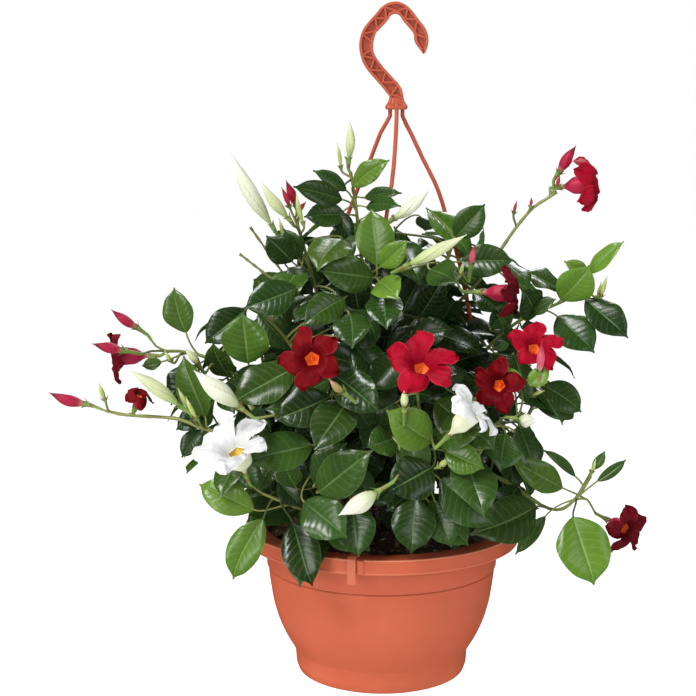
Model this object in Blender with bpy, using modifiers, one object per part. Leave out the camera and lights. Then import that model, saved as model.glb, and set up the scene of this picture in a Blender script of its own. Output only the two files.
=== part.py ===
"""Brazilian jasmine in a hanging pot.

Run with: blender --background --python part.py
Metres, +Z up. The plant and the pot are drawn in the pot's own frame, with the middle of the pot's
base at zero and -Y towards the front. An empty then brings the whole object to its natural reference
point, the inner crest of the hook, where it hangs.
Lists of places are in whole millimetres, and mm() turns them into metres.
"""

import math
import random

import bmesh
import bpy
from mathutils import Matrix, Vector
from mathutils.bvhtree import BVHTree

# Driving dimensions of the pot
RIM_RADIUS = 0.136
POT_HEIGHT = 0.1505
WALL = 0.0022
LIP = 0.0018
POT_SIDES = 24
DRAIN_RADIUS = 0.0045
DRAIN_CIRCLE = 0.052
DRAINS = 4

# Driving dimensions of the soil
GAP = 0.0003
SOIL_EDGE = 0.1395
SOIL_CROWN = 0.1435
HOLE_RADIUS = 0.0031
HOLE_DEPTH = 0.022

# Driving dimensions of the hanger
BEARING = (0.0116, 0.6483)
HOOK_DEPTH = 0.0080
HOOK_BORDER = 0.0023
HOOK_WEB = 0.0030
RIB_WIDTH = 0.0014
RIB_DEPTH = 0.0062
HEAD_RADIUS = 0.0108
HEAD_SIDES = 12
HEAD_BOTTOM = 0.5581
HEAD_CENTRE = 0.0130
SOCKET_DEPTH = 0.0060
STRAND_RADIUS = 0.0020
CLIP_WIDTH = 0.0088
CLIP_THICK = 0.0022
CLIP_FOOT = 0.1131

# Driving dimensions of the plant
STEM_RADIUS = 0.0023
STEM_TIP_RADIUS = 0.0014
TWIG_RADIUS = 0.0011
LEAF_STALK = 0.0010
STALK_REACH = 0.03
LEAF_UP = 0.0005
LEAF_DOWN = 0.0007
LEAF_FOLD = 0.24
LEAF_ARCH = 0.10
LEAF_FACING = 0.9
LEAF_RISE = 0.42
LEAF_STATIONS = (0.26, 0.66)
STEM_STEP = 0.045
TWIG_STEP = 0.024
LEAF_CLEARANCE = 0.0011
STALK_LIMIT = 0.055
COVER_TOP = 0.97
COVER_SPAN = 1.5
COVER_DEPTH = 0.86
ROOT_NUDGE = 0.0004
PAIR_STEP = 0.056
FILL_LENGTH = 0.062
COVER_COUNT = 90
FILL_SHAPE = 0.62
TUBE_LENGTH = 0.038
SEED = 11

# Fused solids: edges this short are closed up, and faces this flat to each other are merged
SLIVER_SIZES = (0.00004, 0.00003, 0.00002, 0.00001, 0.000004, 0.000001)
FLAT_ANGLE = math.radians(0.2)

GREEN = (0.035, 0.12, 0.02)


def mm(*values):
    return Vector([value * 0.001 for value in values])


# The crown is an egg round this place, with these half lengths
CROWN_CENTRE = mm(0, 0, 270)
CROWN_REACH = mm(185, 160, 232)
# Leaves turn their faces away from an upright line through this place, with this gain across and back
FACING_MIDDLE = mm(0, 35, 0)
FACING_GAIN = (5.0, 8.0)

# The pot's wall outside, from the foot up to the rim: radius and height in millimetres
WALL_OUTSIDE = [
    (76.0, 0.0), (83.0, 3.0), (85.5, 10.0), (86.5, 24.0), (90.5, 31.0), (96.0, 40.5),
    (102.5, 55.0), (107.6, 72.0), (113.2, 109.8), (114.4, 110.6), (115.6, 132.0),
]
STEP_RADIUS = 114.4
# The rolled rim outside, from its inner top edge over and down to its free lower edge
RIM_OUTSIDE = [(116.4, 150.5), (129.5, 150.5), (134.0, 149.0), (136.0, 144.5), (134.0, 139.5), (126.5, 133.5)]

# The hook's middle line: across, up and width in millimetres, from the head up and over to the tip
HOOK_SPINE = [
    (13.0, 564.0, 15.0), (12.0, 573.5, 13.0), (1.5, 587.5, 14.0), (-9.0, 599.0, 14.2),
    (-14.5, 609.0, 13.6), (-16.3, 619.0, 13.2), (-15.2, 628.0, 13.2), (-10.5, 637.0, 13.2),
    (-3.2, 645.8, 13.2), (3.7, 651.8, 13.0), (11.8, 654.3, 12.0), (19.6, 651.4, 13.0),
    (26.2, 645.0, 13.4), (32.2, 636.4, 13.4), (36.2, 627.6, 13.0), (37.6, 619.0, 9.6), (39.5, 611.5, 4.0),
]
# The zigzag ribs: where each starts and ends along the hook, and its number of runs
RIB_RUNS = [(0.08, 0.56, 9), (0.60, 0.90, 5)]
HOOK_STATIONS = 17

# The strands: from the hook's head down to just above the rim, in millimetres
STRANDS = {
    "strand_front": [
        (13, -7, 552), (12, -10, 529), (10, -18, 503), (8, -24, 487), (3, -34, 458),
        (-5, -60, 390), (-14, -86, 300), (-21, -104, 215), (-25, -110, 172),
    ],
    "strand_right": [
        (19, 3, 552), (28, 4, 534), (39, 6, 511), (50, 8, 490), (57, 10, 473), (63, 12, 453),
        (81, 20, 390), (97, 28, 300), (107, 34, 215), (107, 35, 172),
    ],
    "strand_back_left": [
        (7, 3, 552), (-2, 7, 536), (-11, 12, 512), (-26, 20, 476), (-45, 34, 420),
        (-65, 52, 330), (-80, 70, 235), (-84, 76, 172),
    ],
}

# The stems: where each stands in the soil, then its way up, in millimetres
STEMS = {
    "stem_crown": [(-4, 8), (-4, 6, 190), (-8, -2, 270), (-12, -8, 346), (-20, -10, 414), (-26, -8, 467),
                   (-31, -6, 499)],
    "stem_top_right": [(22, -12), (25, -15, 230), (36, -20, 347), (56, -30, 400), (68, -30, 436)],
    "stem_flower_up": [(36, 14), (42, 10, 230), (58, 2, 342), (95, 0, 394), (115, 0, 423), (130, 0, 445),
                       (146, 0, 464), (158, 0, 472), (169, 0, 479)],
    "stem_right_up": [(58, -2), (66, -8, 276), (98, -20, 325), (132, -30, 358), (170, -30, 375),
                      (192, -30, 387), (200, -30, 402)],
    "stem_right_mid": [(46, -36), (52, -50, 240), (66, -66, 272), (98, -74, 296), (128, -66, 306)],
    "stem_right_vine": [(68, -42), (82, -56, 190), (100, -66, 214), (131, -70, 199), (150, -70, 186),
                        (165, -70, 181), (177, -70, 186), (190, -70, 202), (197, -70, 214)],
    "stem_front_right": [(42, -62), (58, -78, 200), (86, -92, 236), (100, -98, 268)],
    "stem_front_mid": [(14, -60), (18, -76, 196), (30, -106, 232), (36, -118, 262), (31, -122, 290)],
    "stem_front_left": [(-22, -58), (-42, -82, 196), (-58, -108, 236), (-54, -114, 280), (-44, -112, 312)],
    "stem_low_left": [(-48, -50), (-60, -78, 176), (-90, -108, 197), (-112, -114, 208)],
    "stem_left_low": [(-68, -26), (-76, -54, 220), (-114, -86, 251), (-164, -90, 263), (-190, -82, 271),
                      (-210, -75, 272), (-242, -70, 273), (-262, -70, 277)],
    "stem_left_far": [(-50, 4), (-60, -20, 236), (-115, -52, 290), (-159, -58, 322), (-187, -50, 330),
                      (-206, -50, 331)],
    "stem_left_up": [(-30, -20), (-48, -44, 264), (-87, -74, 340), (-110, -80, 368)],
    "stem_white_buds": [(-22, 20), (-41, 2, 278), (-62, -26, 378), (-76, -38, 432), (-80, -40, 446)],
    "stem_side_left": [(-84, 6), (-104, 18, 210), (-138, 22, 262), (-158, 20, 320)],
    "stem_back_left": [(-70, 38), (-88, 50, 210), (-116, 66, 280), (-128, 76, 340)],
    "stem_back_inner": [(-36, 60), (-48, 90, 220), (-62, 112, 300), (-58, 112, 370), (-48, 92, 420)],
    "stem_back_mid": [(8, 50), (12, 84, 240), (16, 118, 320), (16, 110, 390), (14, 84, 436)],
    "stem_back_right": [(48, 56), (64, 86, 220), (84, 104, 290), (92, 100, 350), (80, 82, 396)],
    "stem_side_right": [(88, -2), (116, 2, 210), (148, 8, 262), (164, 10, 316)],
}

# The leaves that show in front: base, tip, width in millimetres and turn about the leaf's own length
LEAVES = {
    "stem_crown": [
        ((-29, -12, 485), (5, -30, 511), 22, 0), ((-35, -10, 481), (-66, -25, 501), 22, 0),
        ((-39, -20, 473), (-84, -50, 487), 28, 0), ((-36, -20, 458), (-75, -34, 458), 26, 0),
        ((-18, -25, 475), (16, -48, 481), 24, 0), ((-16, -22, 466), (14, -66, 470), 26, 0),
        ((-7, -84, 416), (-12, -80, 468), 36, 0), ((-4, -86, 415), (20, -104, 440), 22, 0),
        ((-10, -88, 405), (-58, -116, 414), 34, 0), ((-5, -90, 402), (10, -136, 392), 30, 0),
        ((0, -100, 392), (1, -144, 366), 34, 0),
    ],
    "stem_top_right": [
        ((68, -36, 438), (95, -48, 470), 28, 0), ((73, -48, 416), (122, -56, 418), 32, 0),
        ((42, -84, 412), (64, -118, 404), 30, 0),
    ],
    "stem_white_buds": [((-80, -24, 424), (-104, -36, 444), 20, 0)],
    "stem_left_up": [
        ((-81, -83, 395), (-129, -95, 378), 34, 0), ((-130, -60, 372), (-168, -72, 342), 34, 0),
        ((-126, -92, 326), (-130, -104, 374), 46, 0), ((-37, -105, 388), (-73, -134, 368), 30, 0),
        ((-32, -114, 375), (-30, -150, 350), 34, 0),
    ],
    "stem_left_far": [
        ((-180, -60, 345), (-192, -62, 403), 36, 0), ((-176, -56, 318), (-203, -58, 280), 34, 0),
        ((-146, -50, 306), (-160, -76, 342), 30, 0),
    ],
    "stem_left_low": [((-113, -100, 258), (-112, -132, 294), 26, 0)],
    "stem_front_left": [
        ((-49, -130, 302), (-99, -146, 284), 36, 0), ((-46, -134, 322), (-6, -164, 294), 36, 0),
        ((-60, -134, 214), (-14, -170, 260), 40, 0), ((-64, -128, 220), (-61, -154, 268), 34, 0),
        ((-74, -130, 204), (-29, -158, 184), 42, 0), ((-30, -128, 203), (-24, -150, 158), 38, 0),
        ((-82, -120, 216), (-92, -140, 246), 24, 0),
    ],
    "stem_low_left": [
        ((-121, -104, 190), (-174, -92, 212), 34, 0), ((-112, -116, 184), (-146, -126, 112), 42, 0),
        ((-84, -122, 182), (-66, -148, 130), 36, 0),
    ],
    "stem_front_mid": [
        ((42, -140, 262), (1, -168, 296), 38, 0), ((42, -146, 240), (2, -172, 224), 42, 0),
        ((54, -142, 254), (88, -154, 241), 28, 0), ((50, -138, 227), (98, -148, 187), 44, 0),
        ((28, -132, 208), (24, -152, 162), 40, 0), ((46, -128, 204), (62, -150, 168), 34, 0),
        ((10, -138, 266), (-16, -162, 262), 30, 0),
    ],
    "stem_right_vine": [
        ((144, -76, 186), (78, -150, 180), 44, 0), ((170, -72, 203), (119, -95, 235), 40, 0),
        ((182, -72, 214), (149, -85, 243), 16, 0), ((200, -70, 210), (231, -70, 234), 20, 0),
        ((154, -74, 176), (125, -85, 141), 22, 0), ((180, -76, 176), (199, -100, 116), 56, 0),
        ((198, -70, 220), (210, -70, 238), 10, 0),
    ],
    "stem_front_right": [
        ((138, -88, 240), (140, -96, 190), 30, 0), ((112, -106, 262), (104, -142, 236), 36, 0),
        ((68, -122, 282), (98, -146, 256), 34, 0),
    ],
    "stem_right_mid": [
        ((134, -92, 294), (174, -88, 264), 34, 0), ((150, -74, 302), (186, -80, 278), 30, 0),
    ],
    "stem_right_up": [
        ((201, -30, 404), (226, -45, 435), 30, 0), ((196, -32, 402), (172, -42, 416), 16, 0),
        ((170, -34, 378), (200, -50, 408), 34, 0), ((194, -32, 378), (232, -55, 345), 34, 0),
        ((167, -34, 362), (200, -60, 332), 40, 0), ((146, -32, 362), (138, -46, 404), 36, 0),
        ((120, -40, 350), (106, -100, 372), 34, 0),
    ],
}

# The blooms: stem, colour, throat in millimetres, facing, limb radius in millimetres
BLOOMS = {
    "bloom_red_top": ("stem_flower_up", "red", (206, 0, 487), (0.85, -0.50, 0.08), 31),
    "bloom_red_dark": ("stem_top_right", "dark", (122, -84, 390), (0.94, -0.34, -0.02), 27),
    "bloom_red_middle": ("stem_front_mid", "red", (32, -154, 337), (0.08, -0.87, 0.48), 35),
    "bloom_red_left": ("stem_front_left", "deep", (-66, -162, 341), (-0.08, -0.99, 0.10), 31),
    "bloom_red_right": ("stem_right_mid", "red", (139, -104, 345), (0.15, -0.84, 0.50), 29),
    "bloom_red_inner": ("stem_right_mid", "deep", (101, -116, 309), (-0.30, -0.94, 0.10), 28),
    "bloom_red_low": ("stem_right_vine", "dark", (236, -66, 159), (0.72, -0.68, -0.10), 27),
    "bloom_red_far": ("stem_left_far", "dark", (-256, -56, 327), (-0.90, -0.42, 0.06), 28),
    "bloom_red_curled": ("stem_left_low", "deep", (-226, -92, 298), (-0.35, -0.80, 0.48), 15),
    "bloom_white_left": ("stem_low_left", "white", (-136, -152, 262), (-0.33, -0.54, 0.78), 40),
    "bloom_white_right": ("stem_front_mid", "white", (79, -176, 299), (0.62, -0.34, 0.71), 31),
}

# The buds that are not green: stem, colour, base and tip in millimetres, greatest radius
BUDS = {
    "bud_white_left": ("stem_white_buds", "white", (-104, -46, 448), (-142, -60, 519), 7.5),
    "bud_cream_left": ("stem_white_buds", "cream", (-88, -56, 456), (-114, -66, 492), 5.5),
    "bud_red_tuft": ("stem_white_buds", "red", (-82, -34, 466), (-92, -36, 492), 4.5),
    "bud_cream_top": ("stem_crown", "cream", (-33, -5, 508), (-32, -8, 548), 4.6),
    "bud_white_top": ("stem_top_right", "white", (6, -70, 456), (42, -74, 486), 6.0),
    "bud_cream_long": ("stem_top_right", "cream", (18, -122, 419), (72, -132, 448), 6.0),
    "bud_red_high": ("stem_flower_up", "red", (169, 0, 496), (186, -4, 524), 5.5),
    "bud_red_upper": ("stem_left_far", "red", (-232, -48, 352), (-258, -50, 371), 4.8),
    "bud_red_lower": ("stem_left_far", "red", (-240, -82, 336), (-270, -90, 344), 5.2),
    "bud_red_tip": ("stem_left_low", "red", (-278, -70, 283), (-315, -72, 295), 5.6),
    "bud_green_white": ("stem_left_low", "cream", (-186, -110, 288), (-232, -118, 324), 6.5),
    "bud_pale": ("stem_left_far", "cream", (-172, -84, 322), (-184, -92, 340), 4.0),
    "bud_white_big": ("stem_front_left", "white", (-128, -148, 294), (-170, -156, 330), 9.0),
    "bud_white_low": ("stem_front_mid", "white", (-6, -176, 226), (-42, -182, 205), 8.5),
    "bud_pointed": ("stem_front_mid", "cream", (16, -166, 296), (16, -170, 316), 3.6),
    "bud_white_round": ("stem_front_right", "white", (120, -122, 280), (139, -130, 279), 7.5),
    "bud_red_pink": ("stem_right_mid", "pink", (138, -138, 324), (146, -147, 354), 5.0),
    "bud_withered": ("stem_front_left", "withered", (-36, -166, 311), (-55, -177, 330), 5.0),
    "bud_pink_tip": ("stem_top_right", "pink", (80, -80, 414), (83, -86, 440), 3.2),
}

FLOWER_COLOURS = {
    "red": (0.60, 0.01, 0.05),
    "deep": (0.36, 0.005, 0.02),
    "dark": (0.22, 0.005, 0.03),
    "white": (0.86, 0.86, 0.80),
    "cream": (0.70, 0.74, 0.45),
    "pink": (0.70, 0.12, 0.20),
    "withered": (0.62, 0.42, 0.36),
}


def clear_scene():
    for thing in list(bpy.data.objects):
        bpy.data.objects.remove(thing, do_unlink=True)


def new_collection(name):
    collection = bpy.data.collections.new(name)
    bpy.context.scene.collection.children.link(collection)
    return collection


def make_material(name, colour, roughness=0.5, metallic=0.0):
    material = bpy.data.materials.new(name)
    material.use_nodes = True
    shader = material.node_tree.nodes["Principled BSDF"]
    shader.inputs["Base Color"].default_value = (*colour, 1.0)
    shader.inputs["Roughness"].default_value = roughness
    shader.inputs["Metallic"].default_value = metallic
    return material


def link_mesh(name, mesh, collection):
    thing = bpy.data.objects.new(name, mesh)
    collection.objects.link(thing)
    return thing


def object_from_bmesh(name, bm, collection):
    bmesh.ops.recalc_face_normals(bm, faces=bm.faces)
    mesh = bpy.data.meshes.new(name)
    bm.to_mesh(mesh)
    bm.free()
    return link_mesh(name, mesh, collection)


def applied(thing):
    """Give the object the mesh that its modifiers make, and drop the modifiers."""
    bpy.context.view_layer.update()
    graph = bpy.context.evaluated_depsgraph_get()
    mesh = bpy.data.meshes.new_from_object(thing.evaluated_get(graph))
    thing.modifiers.clear()
    thing.data = mesh
    return thing


def mesh_from_curve(thing, collection):
    """Replace a curve object by a welded mesh object."""
    bpy.context.view_layer.update()
    graph = bpy.context.evaluated_depsgraph_get()
    mesh = bpy.data.meshes.new_from_object(thing.evaluated_get(graph))
    bm = bmesh.new()
    bm.from_mesh(mesh)
    bmesh.ops.remove_doubles(bm, verts=bm.verts, dist=0.00001)
    bmesh.ops.recalc_face_normals(bm, faces=bm.faces)
    bm.to_mesh(mesh)
    bm.free()
    solid = link_mesh(thing.name + "_mesh", mesh, collection)
    solid.matrix_world = thing.matrix_world
    bpy.data.objects.remove(thing, do_unlink=True)
    return solid


def tube(name, points, radii, collection, resolution=1):
    """A round tube along the points, as a closed mesh; resolution 0 has four sides, 1 has six."""
    curve = bpy.data.curves.new(name, "CURVE")
    curve.dimensions = "3D"
    curve.bevel_depth = 1.0
    curve.bevel_resolution = resolution
    curve.use_fill_caps = True
    spline = curve.splines.new("POLY")
    spline.points.add(len(points) - 1)
    for point, place, radius in zip(spline.points, points, radii):
        point.co = (*place, 1.0)
        point.radius = radius
    return mesh_from_curve(link_mesh(name, curve, collection), collection)


def smooth_route(points, step):
    """Points about a step apart on a smooth curve through the given ones."""
    ends = [2 * points[0] - points[1]] + list(points) + [2 * points[-1] - points[-2]]
    route = []
    for index in range(1, len(ends) - 2):
        a, b, c, d = ends[index - 1:index + 3]
        count = max(1, round((c - b).length / step))
        for tick in range(count):
            t = tick / count
            route.append(0.5 * (2 * b + (c - a) * t + (2 * a - 5 * b + 4 * c - d) * t ** 2
                                + (3 * b - a - 3 * c + d) * t ** 3))
    route.append(points[-1].copy())
    return route


def union(name, pieces, collection, solver="MANIFOLD"):
    """Fuse overlapping closed pieces into one object."""
    body = pieces[0]
    body.name = name
    if len(pieces) > 1:
        others = new_collection(name + "_parts")
        for piece in pieces[1:]:
            collection.objects.unlink(piece)
            others.objects.link(piece)
        modifier = body.modifiers.new("union", "BOOLEAN")
        modifier.operation = "UNION"
        modifier.operand_type = "COLLECTION"
        modifier.collection = others
        modifier.solver = solver
        applied(body)
        keep_largest(body)
        for piece in list(others.objects):
            bpy.data.objects.remove(piece, do_unlink=True)
        bpy.data.collections.remove(others)
    return body


def shells(bm):
    """The groups of faces that edges join, the smallest first."""
    left = set(bm.faces)
    groups = []
    while left:
        front = [left.pop()]
        group = list(front)
        while front:
            for edge in front.pop().edges:
                for face in edge.link_faces:
                    if face in left:
                        left.remove(face)
                        front.append(face)
                        group.append(face)
        groups.append(group)
    return sorted(groups, key=len)


def keep_largest(body):
    """Drop loose scraps and fill hollows that the fusing sealed."""
    bm = bmesh.new()
    bm.from_mesh(body.data)
    scraps = [vert for group in shells(bm)[:-1] for face in group for vert in face.verts]
    bmesh.ops.delete(bm, geom=list(set(scraps)), context="VERTS")
    without_slivers(bm).to_mesh(body.data)
    bm.free()


def without_slivers(bm):
    """A copy with short edges closed up and flat neighbours merged, as far as it stays one closed solid."""
    for reach in SLIVER_SIZES:
        trial = bm.copy()
        bmesh.ops.remove_doubles(trial, verts=trial.verts, dist=reach)
        bmesh.ops.dissolve_limit(trial, angle_limit=FLAT_ANGLE, verts=trial.verts, edges=trial.edges)
        bmesh.ops.triangulate(trial, faces=trial.faces, ngon_method="BEAUTY")
        if all(len(edge.link_faces) == 2 for edge in trial.edges) and len(shells(trial)) == 1:
            return trial
    return bm.copy()


def cut(body, tools, cutters):
    """Cut the tools out of the body; the tools stay as wire cutters."""
    for tool in tools:
        tool.hide_render = True
        tool.display_type = "WIRE"
    modifier = body.modifiers.new("cut", "BOOLEAN")
    modifier.operation = "DIFFERENCE"
    modifier.operand_type = "COLLECTION"
    modifier.collection = cutters
    modifier.solver = "EXACT"
    return applied(body)


def turned(name, profile, sides, collection):
    """A profile of radius and height points turned about Z; it starts and ends on the axis."""
    bm = bmesh.new()
    verts = [bm.verts.new((radius, 0.0, height)) for radius, height in profile]
    for a, b in zip(verts, verts[1:]):
        bm.edges.new((a, b))
    mesh = bpy.data.meshes.new(name)
    bm.to_mesh(mesh)
    bm.free()
    thing = link_mesh(name, mesh, collection)
    screw = thing.modifiers.new("turn", "SCREW")
    screw.steps = sides
    screw.render_steps = sides
    screw.use_merge_vertices = True
    screw.merge_threshold = 0.00001
    applied(thing)
    bm = bmesh.new()
    bm.from_mesh(thing.data)
    bmesh.ops.recalc_face_normals(bm, faces=bm.faces)
    bm.to_mesh(thing.data)
    bm.free()
    return thing


def post(name, place, radius, low, high, sides, collection):
    """An upright round bar."""
    bm = bmesh.new()
    bmesh.ops.create_cone(bm, cap_ends=True, segments=sides, radius1=radius, radius2=radius,
                          depth=high - low)
    bmesh.ops.translate(bm, verts=bm.verts, vec=(place[0], place[1], (low + high) / 2))
    return object_from_bmesh(name, bm, collection)


def inner_wall():
    """The pot's inside, a wall's thickness in from the outside, from the floor up."""
    points = [(radius - WALL * 1000, height) for radius, height in WALL_OUTSIDE[3:] if radius != STEP_RADIUS]
    return [(83.0, WALL * 1000 + 1.0)] + points


def pot_profile():
    """The whole section of the pot, from the floor's middle outwards and back under the base."""
    inside = inner_wall()
    rolled = [(radius - LIP * 1000, height) for radius, height in RIM_OUTSIDE[:2:-1]]
    under = [(131.0, 147.6), (118.8, 147.6)]
    section = [(0.0, WALL * 1000 + 1.0)] + inside + RIM_OUTSIDE + rolled + under
    section += WALL_OUTSIDE[::-1] + [(0.0, 0.0)]
    return [(radius * 0.001, height * 0.001) for radius, height in section]


def build_pot(parts, cutters):
    pot = turned("pot", pot_profile(), POT_SIDES, parts)
    tools = []
    for index in range(DRAINS):
        angle = math.tau * (index + 0.5) / DRAINS
        place = (DRAIN_CIRCLE * math.cos(angle), DRAIN_CIRCLE * math.sin(angle))
        tools.append(post("drain_cutter", place, DRAIN_RADIUS, -0.01, 0.02, 10, cutters))
    return cut(pot, tools, cutters)


def soil_profile():
    wall = [(radius * 0.001 - GAP, height * 0.001) for radius, height in inner_wall()]
    low = WALL + 0.001 + GAP
    wall = [(radius, height) for radius, height in wall if height < SOIL_EDGE - 0.004]
    wall[0] = (wall[0][0], low)
    edge = wall[-1][0] + 0.0006
    crown = [(edge, SOIL_EDGE), (0.06, SOIL_CROWN - 0.0004), (0.0, SOIL_CROWN)]
    return [(0.0, low)] + wall + crown


def build_soil(parts, cutters):
    soil = turned("soil", soil_profile(), POT_SIDES, parts)
    tools = []
    for route in STEMS.values():
        place = mm(*route[0])
        tools.append(post("hole_cutter", place, HOLE_RADIUS, SOIL_CROWN - HOLE_DEPTH, SOIL_CROWN + 0.01,
                          6, cutters))
    return cut(soil, tools, cutters)


def spine_edges(count):
    """The hook's two edges as lists of across-up points, evenly along its middle line."""
    rough = [Vector((x, z, width)) for x, z, width in HOOK_SPINE]
    fine = smooth_route(rough, 3.0)
    lengths = [0.0]
    for a, b in zip(fine, fine[1:]):
        lengths.append(lengths[-1] + (b - a).xy.length)
    left, right = [], []
    for index in range(count + 1):
        want = lengths[-1] * index / count
        spot = max(0, min(len(fine) - 2, sum(length < want for length in lengths) - 1))
        share = (want - lengths[spot]) / (lengths[spot + 1] - lengths[spot])
        here = fine[spot].lerp(fine[spot + 1], share)
        along = (fine[min(spot + 2, len(fine) - 1)] - fine[max(spot - 1, 0)]).xy.normalized()
        side = Vector((-along.y, along.x)) * here.z / 2
        left.append((here.xy + side) * 0.001)
        right.append((here.xy - side) * 0.001)
    return left, right


def inset(edge, other, depth):
    """Move an edge towards the other one by a set distance."""
    return [a + (b - a).normalized() * depth for a, b in zip(edge, other)]


def plate(name, outlines, thickness, collection):
    """A flat plate in the XZ plane; a second outline is a hole in it."""
    curve = bpy.data.curves.new(name, "CURVE")
    curve.dimensions = "2D"
    curve.fill_mode = "BOTH"
    curve.extrude = thickness / 2
    for outline in outlines:
        spline = curve.splines.new("POLY")
        spline.points.add(len(outline) - 1)
        spline.use_cyclic_u = True
        for point, place in zip(spline.points, outline):
            point.co = (place[0], place[1], 0.0, 1.0)
    thing = link_mesh(name, curve, collection)
    thing.matrix_world = Matrix.Rotation(math.radians(90), 4, "X")
    solid = mesh_from_curve(thing, collection)
    solid.data.transform(solid.matrix_world)
    solid.matrix_world = Matrix.Identity(4)
    return solid


def zigzag(left, right, first, last, runs):
    """The outline of one zigzag rib that runs from edge to edge of the hook."""
    nodes = []
    for index in range(runs + 1):
        edge = left if index % 2 else right
        nodes.append(edge[round((first + (last - first) * index / runs) * (len(edge) - 1))])
    fore, back = [], []
    for index, node in enumerate(nodes):
        before = nodes[max(index - 1, 0)]
        after = nodes[min(index + 1, runs)]
        ways = [way.normalized() for way in (node - before, after - node) if way.length > 0]
        normals = [Vector((-way.y, way.x)) for way in ways]
        middle = sum(normals, Vector((0.0, 0.0))).normalized()
        reach = min(RIB_WIDTH / 2 / middle.dot(normals[0]), RIB_WIDTH * 1.3)
        fore.append(node + middle * reach)
        back.append(node - middle * reach)
    return fore + back[::-1]


def hook_band(left, right, collection):
    """The hook's band: a border down both edges and a thin web between, closed at both ends."""
    bm = bmesh.new()
    rings = []
    last = len(left) - 1
    for index, (a, b) in enumerate(zip(left, right)):
        border = min(HOOK_BORDER, (b - a).length * 0.42)
        across = (b - a).normalized() * border
        web = HOOK_DEPTH - 0.0004 if index in (0, 1, last - 1, last) else HOOK_WEB
        section = [(a, HOOK_DEPTH), (a + across, HOOK_DEPTH), (a + across, web), (b - across, web),
                   (b - across, HOOK_DEPTH), (b, HOOK_DEPTH)]
        section += [(spot, -depth) for spot, depth in section[::-1]]
        rings.append([bm.verts.new((spot.x, -depth / 2, spot.y)) for spot, depth in section])
    for low, high in zip(rings, rings[1:]):
        for index in range(len(low)):
            after = (index + 1) % len(low)
            bm.faces.new((low[index], low[after], high[after], high[index]))
    bm.faces.new(rings[0][::-1])
    bm.faces.new(rings[-1])
    bmesh.ops.triangulate(bm, faces=[face for face in bm.faces if len(face.verts) > 4])
    return object_from_bmesh("hook_band", bm, collection)


def build_hook(parts, cutters):
    left, right = spine_edges(HOOK_STATIONS)
    rib_left = inset(left, right, HOOK_BORDER / 2)
    rib_right = inset(right, left, HOOK_BORDER / 2)
    pieces = [hook_band(left, right, parts)]
    for first, last, runs in RIB_RUNS:
        pieces.append(plate("hook_rib", [zigzag(rib_left, rib_right, first, last, runs)], RIB_DEPTH, parts))
    pieces.append(build_head(parts, cutters))
    return union("hanger_hook", pieces, parts)


def build_head(parts, cutters):
    """The round foot of the hook, which holds the strands."""
    profile = [(0.0, HEAD_BOTTOM), (HEAD_RADIUS - 0.0022, HEAD_BOTTOM), (HEAD_RADIUS, HEAD_BOTTOM + 0.0024),
               (HEAD_RADIUS - 0.0012, HEAD_BOTTOM + 0.0052), (0.0078, HEAD_BOTTOM + 0.0100),
               (0.0056, HEAD_BOTTOM + 0.0140), (0.0, HEAD_BOTTOM + 0.0140)]
    head = turned("hook_head", profile, HEAD_SIDES, parts)
    head.data.transform(Matrix.Translation((HEAD_CENTRE, 0.0, 0.0)))
    tools = []
    for route in STRANDS.values():
        x, y, z = mm(*route[0])
        tools.append(post("socket_cutter", (x, y), STRAND_RADIUS + GAP + 0.0002, HEAD_BOTTOM - 0.01,
                          HEAD_BOTTOM + SOCKET_DEPTH, 8, cutters))
    return cut(head, tools, cutters)


def clip_outline():
    """The clip's section over the rim, as radius and height: over the top, down outside, barb under."""
    top, out = 0.1505 + GAP, 0.136 + GAP
    thick = CLIP_THICK
    outer = [(0.1118, 0.1445), (0.1118, top + thick), (0.1310, top + thick), (0.1372, top),
             (out + thick, 0.1450), (0.1366, 0.1384), (0.1292, 0.1322), (0.1280, 0.1245)]
    inner = [(0.1258, 0.1245), (0.1246, 0.1300), (0.1268, 0.1330), (0.1347, 0.1392), (out, 0.1445),
             (0.1346, 0.1492), (0.1296, top), (0.1152, top), (0.1138, 0.1445)]
    return outer + inner


def strand_path(route):
    """A strand's middle line, from its seat in the hook's head to its clip inside the rim."""
    points = [mm(*place) for place in route]
    seat = Vector((points[0].x, points[0].y, HEAD_BOTTOM + SOCKET_DEPTH - GAP))
    outward = Vector((points[-1].x, points[-1].y, 0.0)).normalized()
    foot = outward * CLIP_FOOT + Vector((0.0, 0.0, POT_HEIGHT))
    return smooth_route([seat] + points, 0.03) + [foot]


def build_strand(name, route, parts):
    path = strand_path(route)
    body = tube(name, path, [STRAND_RADIUS] * len(path), parts)
    clip = plate(name + "_clip", [clip_outline()], CLIP_WIDTH, parts)
    clip.data.transform(Matrix.Rotation(math.atan2(path[-1].y, path[-1].x), 4, "Z"))
    return union(name, [body, clip], parts)


def crown_normal(place):
    """The way a leaf at this place turns its face: out from the plant, and up."""
    away = place - FACING_MIDDLE
    outward = Vector((away.x * FACING_GAIN[0], away.y * FACING_GAIN[1], 0.0))
    if outward.length > LEAF_FACING:
        outward = outward.normalized() * LEAF_FACING
    return (outward + Vector((0.0, 0.0, LEAF_RISE))).normalized()


def make_leaf(root, base, tip, width, turn=0.0):
    """A leaf as plain values: its stalk's root, its blade's base and tip, and its face's direction."""
    along = (tip - base).normalized()
    normal = crown_normal((base + tip) / 2)
    if abs(normal.dot(along)) > 0.94:
        normal = Vector((0.0, 0.0, 1.0)) + along * 0.3
    normal = (normal - along * normal.dot(along)).normalized()
    normal = Matrix.Rotation(turn, 3, along) @ normal
    return dict(root=root, base=base, tip=tip, half=width / 2, normal=normal)


def leaf_half(leaf, s):
    """Half the blade's width at a share s of its length: an ellipse with a drawn-out tip."""
    return leaf["half"] * max(0.0, math.sin(math.pi * s ** 0.9)) ** 0.8


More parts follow.
